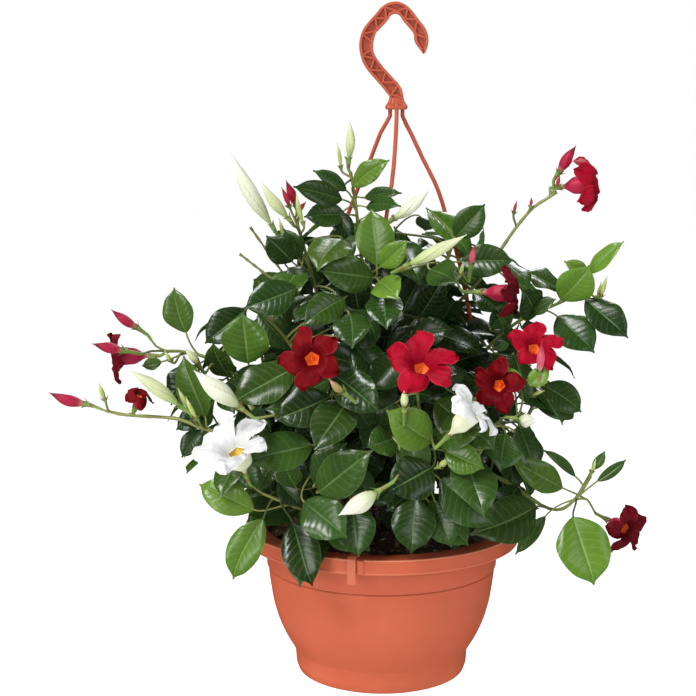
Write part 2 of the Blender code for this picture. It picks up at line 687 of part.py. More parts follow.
def leaf_frame(leaf, s):
    """The midrib's place, direction, side and face direction at a share s of the length."""
    base, tip = leaf["base"], leaf["tip"]
    bend = (base + tip) / 2 + leaf["normal"] * LEAF_ARCH * (tip - base).length
    place = base * (1 - s) ** 2 + bend * 2 * s * (1 - s) + tip * s ** 2
    along = ((bend - base) * (1 - s) + (tip - bend) * s).normalized()
    side = along.cross(leaf["normal"]).normalized()
    return place, along, side, side.cross(along).normalized()


def ring_at(place, side, face, half, lift, up, down):
    """Four points round a station: left edge, top of the midrib, right edge, underside."""
    return [place - side * half + face * lift, place + face * up, place + side * half + face * lift,
            place - face * down]


def leaf_rings(leaf, thicken=0.0):
    """The stations of a leaf from its stalk's root to its last one, and its tip."""
    base, root = leaf["base"], leaf["root"]
    place, along, side, face = leaf_frame(leaf, 0.0)
    stalk = (base - root).normalized()
    if abs(stalk.dot(side)) > 0.9:
        stalk = (stalk + along).normalized()
    stalk_side = (side - stalk * side.dot(stalk)).normalized()
    stalk_face = stalk_side.cross(stalk).normalized()
    size = LEAF_STALK + thicken
    rings = [ring_at(root, stalk_side, stalk_face, size, 0.0, size, size)]
    rings.append(ring_at(place, side, face, size, 0.0, size, size))
    for s in LEAF_STATIONS:
        place, along, side, face = leaf_frame(leaf, s)
        half = leaf_half(leaf, s) + thicken
        rings.append(ring_at(place, side, face, half, LEAF_FOLD * half, LEAF_UP + thicken,
                             LEAF_DOWN + thicken))
    return rings, leaf["tip"] + (leaf["tip"] - leaf["base"]).normalized() * thicken


def leaf_mesh(leaf, thicken=0.0):
    """The leaf's points and triangles, split alike on both of its faces."""
    rings, tip = leaf_rings(leaf, thicken)
    points = [point for ring in rings for point in ring] + [tip]
    last = len(points) - 1
    faces = [(0, 1, 2), (0, 2, 3)]
    for index in range(len(rings) - 1):
        low, high = index * 4, index * 4 + 4
        for edge, ridge in ((0, 1), (2, 1), (2, 3), (0, 3)):
            faces += [(low + edge, low + ridge, high + ridge), (low + edge, high + ridge, high + edge)]
    top = last - 4
    faces += [(top + index, top + (index + 1) % 4, last) for index in range(4)]
    return points, faces


def solid_from(points, faces, name, collection):
    bm = bmesh.new()
    verts = [bm.verts.new(point) for point in points]
    for face in faces:
        bm.faces.new([verts[index] for index in face])
    return object_from_bmesh(name, bm, collection)


class Space:
    """What is already taken, so that a new leaf can be set clear of it."""

    def __init__(self):
        self.taken = []

    def add(self, owner, kind, points, faces):
        tree = BVHTree.FromPolygons(points, faces)
        low = [min(point[axis] for point in points) for axis in range(3)]
        high = [max(point[axis] for point in points) for axis in range(3)]
        self.taken.append((owner, kind, tree, low, high))

    def add_rod(self, owner, kind, route, radius):
        """A square bar round a route stands for a stem or strand."""
        points, faces = [], []
        side = Vector((1.0, 0.0, 0.0))
        for index, place in enumerate(route):
            along = (route[min(index + 1, len(route) - 1)] - route[max(index - 1, 0)]).normalized()
            if abs(side.dot(along)) > 0.95:
                side = along.cross(Vector((0.0, 1.0, 0.3)))
            side = (side - along * side.dot(along)).normalized()
            other = along.cross(side)
            points += [place + side * radius, place + other * radius, place - side * radius,
                       place - other * radius]
        for start in range(0, len(points) - 4, 4):
            for index in range(4):
                after = (index + 1) % 4
                faces.append((start + index, start + after, start + after + 4, start + index + 4))
        self.add(owner, kind, points, faces)

    def meets(self, owner, points, faces, own_leaves):
        """Whether the shape would cross anything apart from its own stem."""
        low = [min(point[axis] for point in points) for axis in range(3)]
        high = [max(point[axis] for point in points) for axis in range(3)]
        tree = None
        for other, kind, other_tree, other_low, other_high in self.taken:
            if other == owner and (kind == "stem" or not own_leaves):
                continue
            if any(low[axis] > other_high[axis] or high[axis] < other_low[axis] for axis in range(3)):
                continue
            if tree is None:
                tree = BVHTree.FromPolygons(points, faces)
            if tree.overlap(other_tree):
                return True
        return False


def in_pot(points):
    """Whether a shape reaches into the pot or its soil."""
    for point in points:
        reach = math.hypot(point.x, point.y)
        if reach < RIM_RADIUS + 0.0015 and point.z < POT_HEIGHT + 0.0015:
            return True
    return False


def nearest_on(routes, place):
    """The nearest point to a place on the stem's routes, and the direction of growth there."""
    best = None
    for route in routes:
        for a, b in zip(route, route[1:]):
            share = max(0.0, min(1.0, (place - a).dot(b - a) / (b - a).length_squared))
            spot = a.lerp(b, share)
            if best is None or (spot - place).length < (best[0] - place).length:
                best = (spot, (b - a).normalized())
    return best


def nearest_stem(stems, place):
    """The stem whose main run comes nearest to a place, and that nearest point."""
    found = {name: nearest_on(routes[:1], place)[0] for name, (pieces, routes) in stems.items()}
    name = min(found, key=lambda key: (found[key] - place).length)
    return name, found[name]


def turned_leaf(leaf, swing, lift, scale, turn):
    """The same leaf swung about its stem, lifted, shortened and turned."""
    blade = leaf["tip"] - leaf["base"]
    along = blade.normalized()
    side = along.cross(leaf["normal"])
    blade = Matrix.Rotation(swing, 3, leaf["normal"]) @ (Matrix.Rotation(lift, 3, side) @ blade)
    return make_leaf(leaf["root"], leaf["base"], leaf["base"] + blade * scale, leaf["half"] * 2 * scale, turn)


def tries(small):
    """The ways in which a leaf may give way, the smallest first."""
    yield 0.0, 0.0, 1.0, 0.0
    steps = (8, 16, 26, 38) if small else (12, 26, 44, 64)
    for step in steps:
        angle = math.radians(step)
        for swing, lift, turn in ((0, 1, 0), (1, 0, 0), (-1, 0, 0), (0, -1, 0), (0, 0, 1), (0, 0, -1),
                                  (1, 1, 0), (-1, 1, 0), (1, -1, 0), (-1, -1, 0), (0, 1, 1), (0, 1, -1)):
            yield swing * angle, lift * angle, 1.0 - 0.003 * step, turn * angle


def place_leaf(space, owner, leaf, shown):
    """The leaf set clear of all else, or nothing if there is no room for it.

    A leaf that shows in the photo gives way less, and may cross its own stem's leaves if it must.
    """
    fallback = None
    for swing, lift, scale, turn in tries(shown):
        trial = turned_leaf(leaf, swing, lift, scale, turn)
        points, faces = leaf_mesh(trial, LEAF_CLEARANCE)
        if in_pot(points):
            continue
        if not space.meets(owner, points, faces, True):
            return trial
        if shown and fallback is None and not space.meets(owner, points, faces, False):
            fallback = trial
    return fallback


def stem_route(route):
    x, y = mm(*route[0])
    low = Vector((x, y, SOIL_CROWN - HOLE_DEPTH + GAP))
    collar = Vector((x, y, SOIL_CROWN + 0.002))
    return smooth_route([low, collar] + [mm(*place) for place in route[1:]], STEM_STEP)


def twig_route(root, growth, end, along):
    """A side twig that leaves its stem in the way it grows and ends in the flower's direction."""
    reach = (end - root).length
    first = root + (growth * 0.35 + (end - root).normalized() * 0.65) * reach * 0.35
    last = end - along * min(0.3 * reach, 0.014)
    neck = end - along * 0.0045
    return smooth_route([root, first, last, neck, end], TWIG_STEP)


def cup_radii(route):
    """A twig's radii: thin, and opened to a small cup at the flower."""
    radii = [TWIG_RADIUS] * len(route)
    radii[-1] = 0.0024
    return radii


def bloom_axes(facing):
    facing = Vector(facing).normalized()
    across = facing.cross(Vector((0.0, 0.0, 1.0)))
    if across.length < 0.1:
        across = facing.cross(Vector((1.0, 0.0, 0.0)))
    across.normalize()
    return facing, across, across.cross(facing).normalized()


def bloom_tube_length(limb):
    return TUBE_LENGTH * min(1.0, limb / 0.028)


def bloom_mesh(throat, facing, limb):
    """A funnel and five skew petals with an outer and an inner face that meet at the edge."""
    facing, across, up = bloom_axes(facing)
    tube_length = bloom_tube_length(limb)
    lobes = (0.66, 1.0, 0.97)
    sides = 15
    mouth = limb * 0.24
    rings = [
        (0.0016, -tube_length, 0.0), (0.0030, -tube_length * 0.55, 0.0), (mouth, -0.004, 0.0),
        (limb * 0.62, limb * 0.05, 0.25), (limb, limb * 0.02, 1.0),
        (limb * 0.60, limb * 0.05 + 0.0011, 0.25), (mouth - 0.001, -0.0025, 0.0),
    ]
    points = []
    for radius, height, lobed in rings:
        for index in range(sides):
            angle = math.tau * index / sides
            reach = radius * (1 - lobed + lobed * lobes[index % 3])
            sway = limb * 0.05 * lobed * (1 if index % 3 == 1 else -0.4)
            points.append(throat + facing * (height + sway)
                          + (across * math.cos(angle) + up * math.sin(angle)) * reach)
    points.append(throat - facing * tube_length * 0.5)
    faces = [tuple(range(sides))]
    for ring in range(len(rings) - 1):
        for index in range(sides):
            nxt = (index + 1) % sides
            a, b = ring * sides + index, ring * sides + nxt
            c, d = a + sides, b + sides
            faces += [(a, b, d), (a, d, c)]
    start = (len(rings) - 1) * sides
    faces += [(start + index, start + (index + 1) % sides, len(points) - 1) for index in range(sides)]
    return points, faces


def bud_mesh(base, tip, radius):
    """A spindle, fullest below its middle and drawn out to a point."""
    along, across, up = bloom_axes(tip - base)
    reach = (tip - base).length
    sides = 6
    points = []
    for share, size in ((0.0, 0.0), (0.22, 0.72), (0.45, 1.0), (0.75, 0.62)):
        for index in range(sides):
            angle = math.tau * (index + share * 1.5) / sides
            width = max(0.0018, radius * size)
            points.append(base + along * reach * share
                          + (across * math.cos(angle) + up * math.sin(angle)) * width)
    points.append(tip.copy())
    faces = [tuple(range(sides))]
    for ring in range(3):
        for index in range(sides):
            a, b = ring * sides + index, ring * sides + (index + 1) % sides
            faces += [(a, b, b + sides), (a, b + sides, a + sides)]
    faces += [(18 + index, 18 + (index + 1) % sides, len(points) - 1) for index in range(sides)]
    return points, faces


def nudged(place, rng):
    """The place moved by under half a millimetre, so that no two stalks start at the same point."""
    return place + Vector([rng.uniform(-ROOT_NUDGE, ROOT_NUDGE) for axis in range(3)])


def fill_pairs(routes, rng):
    """Pairs of leaves by rule along a stem, each pair a quarter turn from the last."""
    for route in routes:
        gone = 0.0
        turn = rng.uniform(0.0, math.pi)
        for a, b in zip(route, route[1:]):
            gone += (b - a).length
            if gone < PAIR_STEP or a.z < POT_HEIGHT + 0.010:
                continue
            gone = 0.0
            growth = (b - a).normalized()
            across = growth.cross(Vector((0.3, -0.2, 0.9))).normalized()
            turn += math.pi / 2 + rng.uniform(-0.3, 0.3)
            for half in (0.0, math.pi):
                side = Matrix.Rotation(turn + half, 3, growth) @ across
                outward = Vector((a.x, a.y, 0.0)).normalized()
                heading = (side + growth * 0.35 + outward * 0.25).normalized()
                length = FILL_LENGTH * rng.uniform(0.82, 1.12)
                base = a + heading * 0.012
                tip = base + (heading - Vector((0.0, 0.0, 0.22))).normalized() * length
                yield make_leaf(nudged(a, rng), base, tip, length * FILL_SHAPE)


def cover_leaves(stems, rng, count):
    """Leaves spread evenly over the crown by the golden angle, each held by its nearest stem."""
    for index in range(count):
        height = COVER_TOP - COVER_SPAN * (index + 0.5) / count
        angle = index * math.pi * (3 - math.sqrt(5))
        level = math.sqrt(1 - height ** 2)
        way = Vector((math.cos(angle) * level, math.sin(angle) * level, height))
        base = CROWN_CENTRE + Vector(a * b for a, b in zip(way, CROWN_REACH)) * COVER_DEPTH
        length = FILL_LENGTH * rng.uniform(0.9, 1.15)
        around = Vector((-way.y, way.x, 0.0)) * rng.uniform(-0.8, 0.8)
        heading = (way * 0.6 + around + Vector((0.0, 0.0, -0.45 - way.z * 0.3))).normalized()
        name, root = nearest_stem(stems, base)
        if (root - base).length > STALK_LIMIT:
            continue
        tip = base + heading * length
        yield name, make_leaf(nudged(root, rng), base, tip, length * FILL_SHAPE)


def build_stem(name, parts, space):
    """The stem itself with the twigs that carry its flowers; leaves come later."""
    main = stem_route(STEMS[name])
    count = len(main)
    radii = [STEM_RADIUS + (STEM_TIP_RADIUS - STEM_RADIUS) * index / (count - 1) for index in range(count)]
    pieces = [tube(name + "_main", main, radii, parts, 0)]
    space.add_rod(name, "stem", main, STEM_RADIUS + GAP)
    routes = [main]
    ends = []
    for owner, colour, throat, facing, limb in BLOOMS.values():
        if owner == name:
            facing = Vector(facing).normalized()
            ends.append((mm(*throat) - facing * (bloom_tube_length(limb * 0.001) + GAP), facing))
    for owner, colour, base, tip, radius in BUDS.values():
        if owner == name:
            along = (mm(*tip) - mm(*base)).normalized()
            ends.append((mm(*base) - along * GAP, along))
    for end, along in ends:
        root, growth = nearest_on([main], end - along * 0.02)
        route = twig_route(root, growth, end, along)
        pieces.append(tube(name + "_twig", route, cup_radii(route), parts, 0))
        space.add_rod(name, "stem", route, TWIG_RADIUS + GAP)
        routes.append(route)
    return pieces, routes


def build_plant(parts, space):
    """All leafy stems, blooms and buds."""
    stems = {name: build_stem(name, parts, space) for name in STEMS}
    flowers = []
    for name, (owner, colour, throat, facing, limb) in BLOOMS.items():
        points, faces = bloom_mesh(mm(*throat), facing, limb * 0.001)
        space.add(name, "bloom", points, faces)
        flowers.append((solid_from(points, faces, name, parts), colour))
    for name, (owner, colour, base, tip, radius) in BUDS.items():
        points, faces = bud_mesh(mm(*base), mm(*tip), radius * 0.001)
        space.add(name, "bud", points, faces)
        flowers.append((solid_from(points, faces, name, parts), colour))
    rng = random.Random(SEED)
    for name, leaves in LEAVES.items():
        pieces, routes = stems[name]
        for base, tip, width, turn in leaves:
            start = mm(*base) - (mm(*tip) - mm(*base)).normalized() * STALK_REACH
            root, growth = nearest_on(routes, start)
            leaf = make_leaf(nudged(root, rng), mm(*base), mm(*tip), width * 0.001, math.radians(turn))
            add_leaf(space, name, leaf, pieces, parts, True)
    for name, (pieces, routes) in stems.items():
        for leaf in fill_pairs(routes[:1], rng):
            add_leaf(space, name, leaf, pieces, parts, False)
    for name, leaf in cover_leaves(stems, rng, COVER_COUNT):
        add_leaf(space, name, leaf, stems[name][0], parts, False)
    return stems, flowers


def add_leaf(space, name, leaf, pieces, parts, shown):
    placed = place_leaf(space, name, leaf, shown)
    if placed is None:
        return
    points, faces = leaf_mesh(placed)
    space.add(name, "leaf", points, faces)
    pieces.append(solid_from(points, faces, name + "_leaf", parts))


def finish(thing, material, frame):
    thing.data.materials.clear()
    thing.data.materials.append(material)
    thing.data.shade_smooth()
    thing.data.set_sharp_from_angle(angle=math.radians(30))
    thing.parent = frame


def main():
    clear_scene()
    parts = new_collection("potted_brazilian_jasmine")
    drains = new_collection("drain_cutters")
    holes = new_collection("hole_cutters")
    sockets = new_collection("socket_cutters")
    frame = bpy.data.objects.new("pot_frame", None)
    parts.objects.link(frame)
    frame.location = (-BEARING[0], 0.0, -BEARING[1])

    plastic = make_material("terracotta_plastic", (0.62, 0.17, 0.075), 0.38)
    earth = make_material("potting_mix", (0.03, 0.018, 0.012), 0.95)
    leafy = make_material("leaf_green", GREEN, 0.35)
    petals = {key: make_material("petal_" + key, colour, 0.55) for key, colour in FLOWER_COLOURS.items()}

    space = Space()
    pot = build_pot(parts, drains)
    soil = build_soil(parts, holes)
    hook = build_hook(parts, sockets)
    strands = [build_strand(name, route, parts) for name, route in STRANDS.items()]
    for name, route in STRANDS.items():
        space.add_rod(name, "strand", strand_path(route), STRAND_RADIUS + GAP)
    stems, flowers = build_plant(parts, space)
    for thing in [pot, hook] + strands:
        finish(thing, plastic, frame)
    finish(soil, earth, frame)
    for thing, colour in flowers:
        finish(thing, petals[colour], frame)
    for name, (pieces, routes) in stems.items():
        finish(union(name, pieces, parts), leafy, frame)
    for cutters in (drains, holes, sockets):
        for tool in cutters.objects:
            tool.parent = frame


if __name__ == "__main__":
    main()
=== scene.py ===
"""Brazilian jasmine in a hanging pot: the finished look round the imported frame.

The plan of the plant is the same as in the part's source, and it is placed by the same steps, so every
stem, flower and bud stands where its solid is, and so do the leaves, apart from those in SETTLED. More
leaves fill what room is left. The work is done in the pot's own frame, in metres, with the middle of the
pot's base at zero and -Y towards the front, and each piece is then moved by ORIGIN.
"""

import math
import random

import bmesh
import bpy
import numpy as np
from mathutils import Matrix, Vector, noise
from mathutils.bvhtree import BVHTree


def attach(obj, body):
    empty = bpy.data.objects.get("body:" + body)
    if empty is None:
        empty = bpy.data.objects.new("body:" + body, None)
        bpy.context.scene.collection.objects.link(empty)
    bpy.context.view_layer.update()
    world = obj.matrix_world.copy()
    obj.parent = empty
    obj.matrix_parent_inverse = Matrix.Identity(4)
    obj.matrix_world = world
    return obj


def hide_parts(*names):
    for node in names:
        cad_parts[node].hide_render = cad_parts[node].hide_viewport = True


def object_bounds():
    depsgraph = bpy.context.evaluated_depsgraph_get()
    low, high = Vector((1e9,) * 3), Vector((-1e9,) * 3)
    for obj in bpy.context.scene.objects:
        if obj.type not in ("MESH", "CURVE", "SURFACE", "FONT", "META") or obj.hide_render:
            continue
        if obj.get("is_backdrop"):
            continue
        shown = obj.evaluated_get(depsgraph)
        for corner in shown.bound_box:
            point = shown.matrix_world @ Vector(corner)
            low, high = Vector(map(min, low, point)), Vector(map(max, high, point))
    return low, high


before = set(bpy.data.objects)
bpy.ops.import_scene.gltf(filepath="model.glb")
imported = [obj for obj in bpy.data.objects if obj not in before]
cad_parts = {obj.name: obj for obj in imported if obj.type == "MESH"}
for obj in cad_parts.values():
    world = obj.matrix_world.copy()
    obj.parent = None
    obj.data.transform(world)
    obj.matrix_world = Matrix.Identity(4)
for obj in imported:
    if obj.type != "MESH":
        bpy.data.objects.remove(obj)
CAD_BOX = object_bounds()

# The plan's driving dimensions, in metres, as in the part's source
RIM_RADIUS = 0.136
POT_HEIGHT = 0.1505
WALL = 0.0022
DRAIN_RADIUS = 0.0045
DRAIN_CIRCLE = 0.052
DRAINS = 4
GAP = 0.0003
SOIL_EDGE = 0.1395
SOIL_CROWN = 0.1435
HOLE_DEPTH = 0.022
BEARING = (0.0116, 0.6483)
HOOK_DEPTH = 0.0080
HOOK_BORDER = 0.0027
HOOK_WEB = 0.0024
RIB_WIDTH = 0.0020
RIB_DEPTH = 0.0072
HEAD_BOTTOM = 0.5581
HEAD_CENTRE = 0.0130
SOCKET_DEPTH = 0.0060
STRAND_RADIUS = 0.0020
CLIP_THICK = 0.0022
CLIP_FOOT = 0.1131
POT_MARGIN = 0.0015
STEM_RADIUS = 0.0023
STEM_TIP_RADIUS = 0.0014
TWIG_RADIUS = 0.0011
LEAF_STALK = 0.0010
STALK_REACH = 0.03
LEAF_UP = 0.0005
LEAF_DOWN = 0.0007
LEAF_FOLD = 0.24
LEAF_ARCH = 0.10
LEAF_FACING = 0.9
LEAF_RISE = 0.42
LEAF_STATIONS = (0.26, 0.66)
STEM_STEP = 0.045
TWIG_STEP = 0.024
LEAF_CLEARANCE = 0.0011
STALK_LIMIT = 0.055
COVER_TOP = 0.97
COVER_SPAN = 1.5
COVER_DEPTH = 0.86
ROOT_NUDGE = 0.0004
PAIR_STEP = 0.056
FILL_LENGTH = 0.062
COVER_COUNT = 90
FILL_SHAPE = 0.62
TUBE_LENGTH = 0.038
SEED = 11


def mm(*values):
    return Vector([value * 0.001 for value in values])


CROWN_CENTRE = mm(0, 0, 270)
CROWN_REACH = mm(185, 160, 232)
FACING_MIDDLE = mm(0, 35, 0)
FACING_GAIN = (5.0, 8.0)
# The solid's outer wall, from the base up: radius and height in millimetres
WALL_OUTSIDE = [
    (76.0, 0.0), (83.0, 3.0), (85.5, 10.0), (86.5, 24.0), (90.5, 31.0), (96.0, 40.5),
    (102.5, 55.0), (107.6, 72.0), (113.2, 109.8), (114.4, 110.6), (115.6, 132.0),
]
STEP_RADIUS = 114.4
# The pot's outside and rim as they are shown: a soft bulge, a groove at the step, and a crisp band. As
# everywhere in the profiles, it is radius and height in millimetres
SHOWN_BULGE = [
    (86.5, 24.0), (90.5, 31.0), (96.0, 40.5), (102.5, 55.0), (107.6, 72.0), (110.8, 90.0), (113.2, 109.0),
]
SHOWN_STEP = [(112.5, 109.6), (112.4, 110.5), (114.4, 111.0), (115.6, 132.0)]
SHOWN_RIM = [
    (116.4, 150.3), (129.5, 150.5), (134.4, 150.4), (135.7, 149.9), (136.0, 148.8), (135.5, 138.6),
    (135.9, 137.6), (135.9, 136.5), (135.2, 135.8), (133.8, 135.8), (133.2, 136.8), (133.4, 141.0),
    (133.0, 146.6), (131.0, 147.8), (118.8, 147.8),
]
PAD_TURN = 0.062
PAD_WIDTH = 0.0058
PAD = [
    (0.1355, 0.1362), (0.1364, 0.1366), (0.1367, 0.1372), (0.137, 0.1488), (0.1368, 0.1497),
    (0.1356, 0.1502),
]
# The strands' and stems' middle lines in millimetres. A stem starts at its hole in the soil
STRANDS = {
    "strand_front": [
        (13, -7, 552), (12, -10, 529), (10, -18, 503), (8, -24, 487), (3, -34, 458),
        (-5, -60, 390), (-14, -86, 300), (-21, -104, 215), (-25, -110, 172),
    ],
    "strand_right": [
        (19, 3, 552), (28, 4, 534), (39, 6, 511), (50, 8, 490), (57, 10, 473), (63, 12, 453),
        (81, 20, 390), (97, 28, 300), (107, 34, 215), (107, 35, 172),
    ],
    "strand_back_left": [
        (7, 3, 552), (-2, 7, 536), (-11, 12, 512), (-26, 20, 476), (-45, 34, 420),
        (-65, 52, 330), (-80, 70, 235), (-84, 76, 172),
    ],
}
STEMS = {
    "stem_crown": [
        (-4, 8), (-4, 6, 190), (-8, -2, 270), (-12, -8, 346), (-20, -10, 414), (-26, -8, 467),
        (-31, -6, 499),
    ],
    "stem_top_right": [(22, -12), (25, -15, 230), (36, -20, 347), (56, -30, 400), (68, -30, 436)],
    "stem_flower_up": [
        (36, 14), (42, 10, 230), (58, 2, 342), (95, 0, 394), (115, 0, 423), (130, 0, 445),
        (146, 0, 464), (158, 0, 472), (169, 0, 479),
    ],
    "stem_right_up": [
        (58, -2), (66, -8, 276), (98, -20, 325), (132, -30, 358), (170, -30, 375),
        (192, -30, 387), (200, -30, 402),
    ],
    "stem_right_mid": [(46, -36), (52, -50, 240), (66, -66, 272), (98, -74, 296), (128, -66, 306)],
    "stem_right_vine": [
        (68, -42), (82, -56, 190), (100, -66, 214), (131, -70, 199), (150, -70, 186),
        (165, -70, 181), (177, -70, 186), (190, -70, 202), (197, -70, 214),
    ],
    "stem_front_right": [(42, -62), (58, -78, 200), (86, -92, 236), (100, -98, 268)],
    "stem_front_mid": [(14, -60), (18, -76, 196), (30, -106, 232), (36, -118, 262), (31, -122, 290)],
    "stem_front_left": [(-22, -58), (-42, -82, 196), (-58, -108, 236), (-54, -114, 280), (-44, -112, 312)],
    "stem_low_left": [(-48, -50), (-60, -78, 176), (-90, -108, 197), (-112, -114, 208)],
    "stem_left_low": [
        (-68, -26), (-76, -54, 220), (-114, -86, 251), (-164, -90, 263), (-190, -82, 271),
        (-210, -75, 272), (-242, -70, 273), (-262, -70, 277),
    ],
    "stem_left_far": [
        (-50, 4), (-60, -20, 236), (-115, -52, 290), (-159, -58, 322), (-187, -50, 330),
        (-206, -50, 331),
    ],
    "stem_left_up": [(-30, -20), (-48, -44, 264), (-87, -74, 340), (-110, -80, 368)],
    "stem_white_buds": [(-22, 20), (-41, 2, 278), (-62, -26, 378), (-76, -38, 432), (-80, -40, 446)],
    "stem_side_left": [(-84, 6), (-104, 18, 210), (-138, 22, 262), (-158, 20, 320)],
    "stem_back_left": [(-70, 38), (-88, 50, 210), (-116, 66, 280), (-128, 76, 340)],
    "stem_back_inner": [(-36, 60), (-48, 90, 220), (-62, 112, 300), (-58, 112, 370), (-48, 92, 420)],
    "stem_back_mid": [(8, 50), (12, 84, 240), (16, 118, 320), (16, 110, 390), (14, 84, 436)],
    "stem_back_right": [(48, 56), (64, 86, 220), (84, 104, 290), (92, 100, 350), (80, 82, 396)],
    "stem_side_right": [(88, -2), (116, 2, 210), (148, 8, 262), (164, 10, 316)],
}
# The leaves that show in front: base, tip, width in millimetres and youth in tenths
LEAVES = {
    "stem_crown": [
        ((-29, -12, 485), (5, -30, 511), 22, 6), ((-35, -10, 481), (-66, -25, 501), 22, 1),
        ((-39, -20, 473), (-84, -50, 487), 28, 1), ((-36, -20, 458), (-75, -34, 458), 26, 0),
        ((-18, -25, 475), (16, -48, 481), 24, 3), ((-16, -22, 466), (14, -66, 470), 26, 1),
        ((-7, -84, 416), (-12, -80, 468), 36, 5), ((-4, -86, 415), (20, -104, 440), 22, 7),
        ((-10, -88, 405), (-58, -116, 414), 34, 2), ((-5, -90, 402), (10, -136, 392), 30, 7),
        ((0, -100, 392), (1, -144, 366), 34, 1),
    ],
    "stem_top_right": [
        ((68, -36, 438), (95, -48, 470), 28, 2), ((73, -48, 416), (122, -56, 418), 32, 1),
        ((42, -84, 412), (64, -118, 404), 30, 2),
    ],
    "stem_white_buds": [((-80, -24, 424), (-104, -36, 444), 20, 3)],
    "stem_left_up": [
        ((-81, -83, 395), (-129, -95, 378), 34, 1), ((-130, -60, 372), (-168, -72, 342), 34, 1),
        ((-126, -92, 326), (-130, -104, 374), 46, 5), ((-37, -105, 388), (-73, -134, 368), 30, 2),
        ((-32, -114, 375), (-30, -150, 350), 34, 1),
    ],
    "stem_left_far": [
        ((-180, -60, 345), (-192, -62, 403), 36, 6), ((-176, -56, 318), (-203, -58, 280), 34, 0),
        ((-146, -50, 306), (-160, -76, 342), 30, 3),
    ],
    "stem_left_low": [((-113, -100, 258), (-112, -132, 294), 26, 1)],
    "stem_front_left": [
        ((-49, -130, 302), (-99, -146, 284), 36, 1), ((-46, -134, 322), (-6, -164, 294), 36, 1),
        ((-60, -134, 214), (-14, -170, 260), 40, 2), ((-64, -128, 220), (-61, -154, 268), 34, 1),
        ((-74, -130, 204), (-29, -158, 184), 42, 1), ((-30, -128, 203), (-24, -150, 158), 38, 1),
        ((-82, -120, 216), (-92, -140, 246), 24, 2),
    ],
    "stem_low_left": [
        ((-121, -104, 190), (-174, -92, 212), 34, 5), ((-112, -116, 184), (-146, -126, 112), 42, 2),
        ((-84, -122, 182), (-66, -148, 130), 36, 1),
    ],
    "stem_front_mid": [
        ((42, -140, 262), (1, -168, 296), 38, 6), ((42, -146, 240), (2, -172, 224), 42, 1),
        ((54, -142, 254), (88, -154, 241), 28, 6), ((50, -138, 227), (98, -148, 187), 44, 1),
        ((28, -132, 208), (24, -152, 162), 40, 1), ((46, -128, 204), (62, -150, 168), 34, 1),
        ((10, -138, 266), (-16, -162, 262), 30, 2),
    ],
    "stem_right_vine": [
        ((144, -76, 186), (78, -150, 180), 44, 2), ((170, -72, 203), (119, -95, 235), 40, 2),
        ((182, -72, 214), (149, -85, 243), 16, 4), ((200, -70, 210), (231, -70, 234), 20, 3),
        ((154, -74, 176), (125, -85, 141), 22, 3), ((180, -76, 176), (199, -100, 116), 56, 6),
        ((198, -70, 220), (210, -70, 238), 10, 4),
    ],
    "stem_front_right": [
        ((138, -88, 240), (140, -96, 190), 30, 0), ((112, -106, 262), (104, -142, 236), 36, 1),
        ((68, -122, 282), (98, -146, 256), 34, 2),
    ],
    "stem_right_mid": [
        ((134, -92, 294), (174, -88, 264), 34, 1), ((150, -74, 302), (186, -80, 278), 30, 1),
    ],
    "stem_right_up": [
        ((201, -30, 404), (226, -45, 435), 30, 2), ((196, -32, 402), (172, -42, 416), 16, 5),
        ((170, -34, 378), (200, -50, 408), 34, 1), ((194, -32, 378), (232, -55, 345), 34, 0),
        ((167, -34, 362), (200, -60, 332), 40, 0), ((146, -32, 362), (138, -46, 404), 36, 1),
        ((120, -40, 350), (106, -100, 372), 34, 2),
    ],
}
# Flowers: stem, colour, throat, facing and the petals' reach
BLOOMS = {
    "bloom_red_top": ("stem_flower_up", "red", (206, 0, 487), (0.85, -0.50, 0.08), 31),
    "bloom_red_dark": ("stem_top_right", "dark", (122, -84, 390), (0.94, -0.34, -0.02), 27),
    "bloom_red_middle": ("stem_front_mid", "red", (32, -154, 337), (0.08, -0.87, 0.48), 35),
    "bloom_red_left": ("stem_front_left", "deep", (-66, -162, 341), (-0.08, -0.99, 0.10), 31),
    "bloom_red_right": ("stem_right_mid", "red", (139, -104, 345), (0.15, -0.84, 0.50), 29),
    "bloom_red_inner": ("stem_right_mid", "deep", (101, -116, 309), (-0.30, -0.94, 0.10), 28),
    "bloom_red_low": ("stem_right_vine", "dark", (236, -66, 159), (0.72, -0.68, -0.10), 27),
    "bloom_red_far": ("stem_left_far", "dark", (-256, -56, 327), (-0.90, -0.42, 0.06), 28),
    "bloom_red_curled": ("stem_left_low", "deep", (-226, -92, 298), (-0.35, -0.80, 0.48), 15),
    "bloom_white_left": ("stem_low_left", "white", (-136, -152, 262), (-0.33, -0.54, 0.78), 40),
    "bloom_white_right": ("stem_front_mid", "white", (79, -176, 299), (0.62, -0.34, 0.71), 31),
}
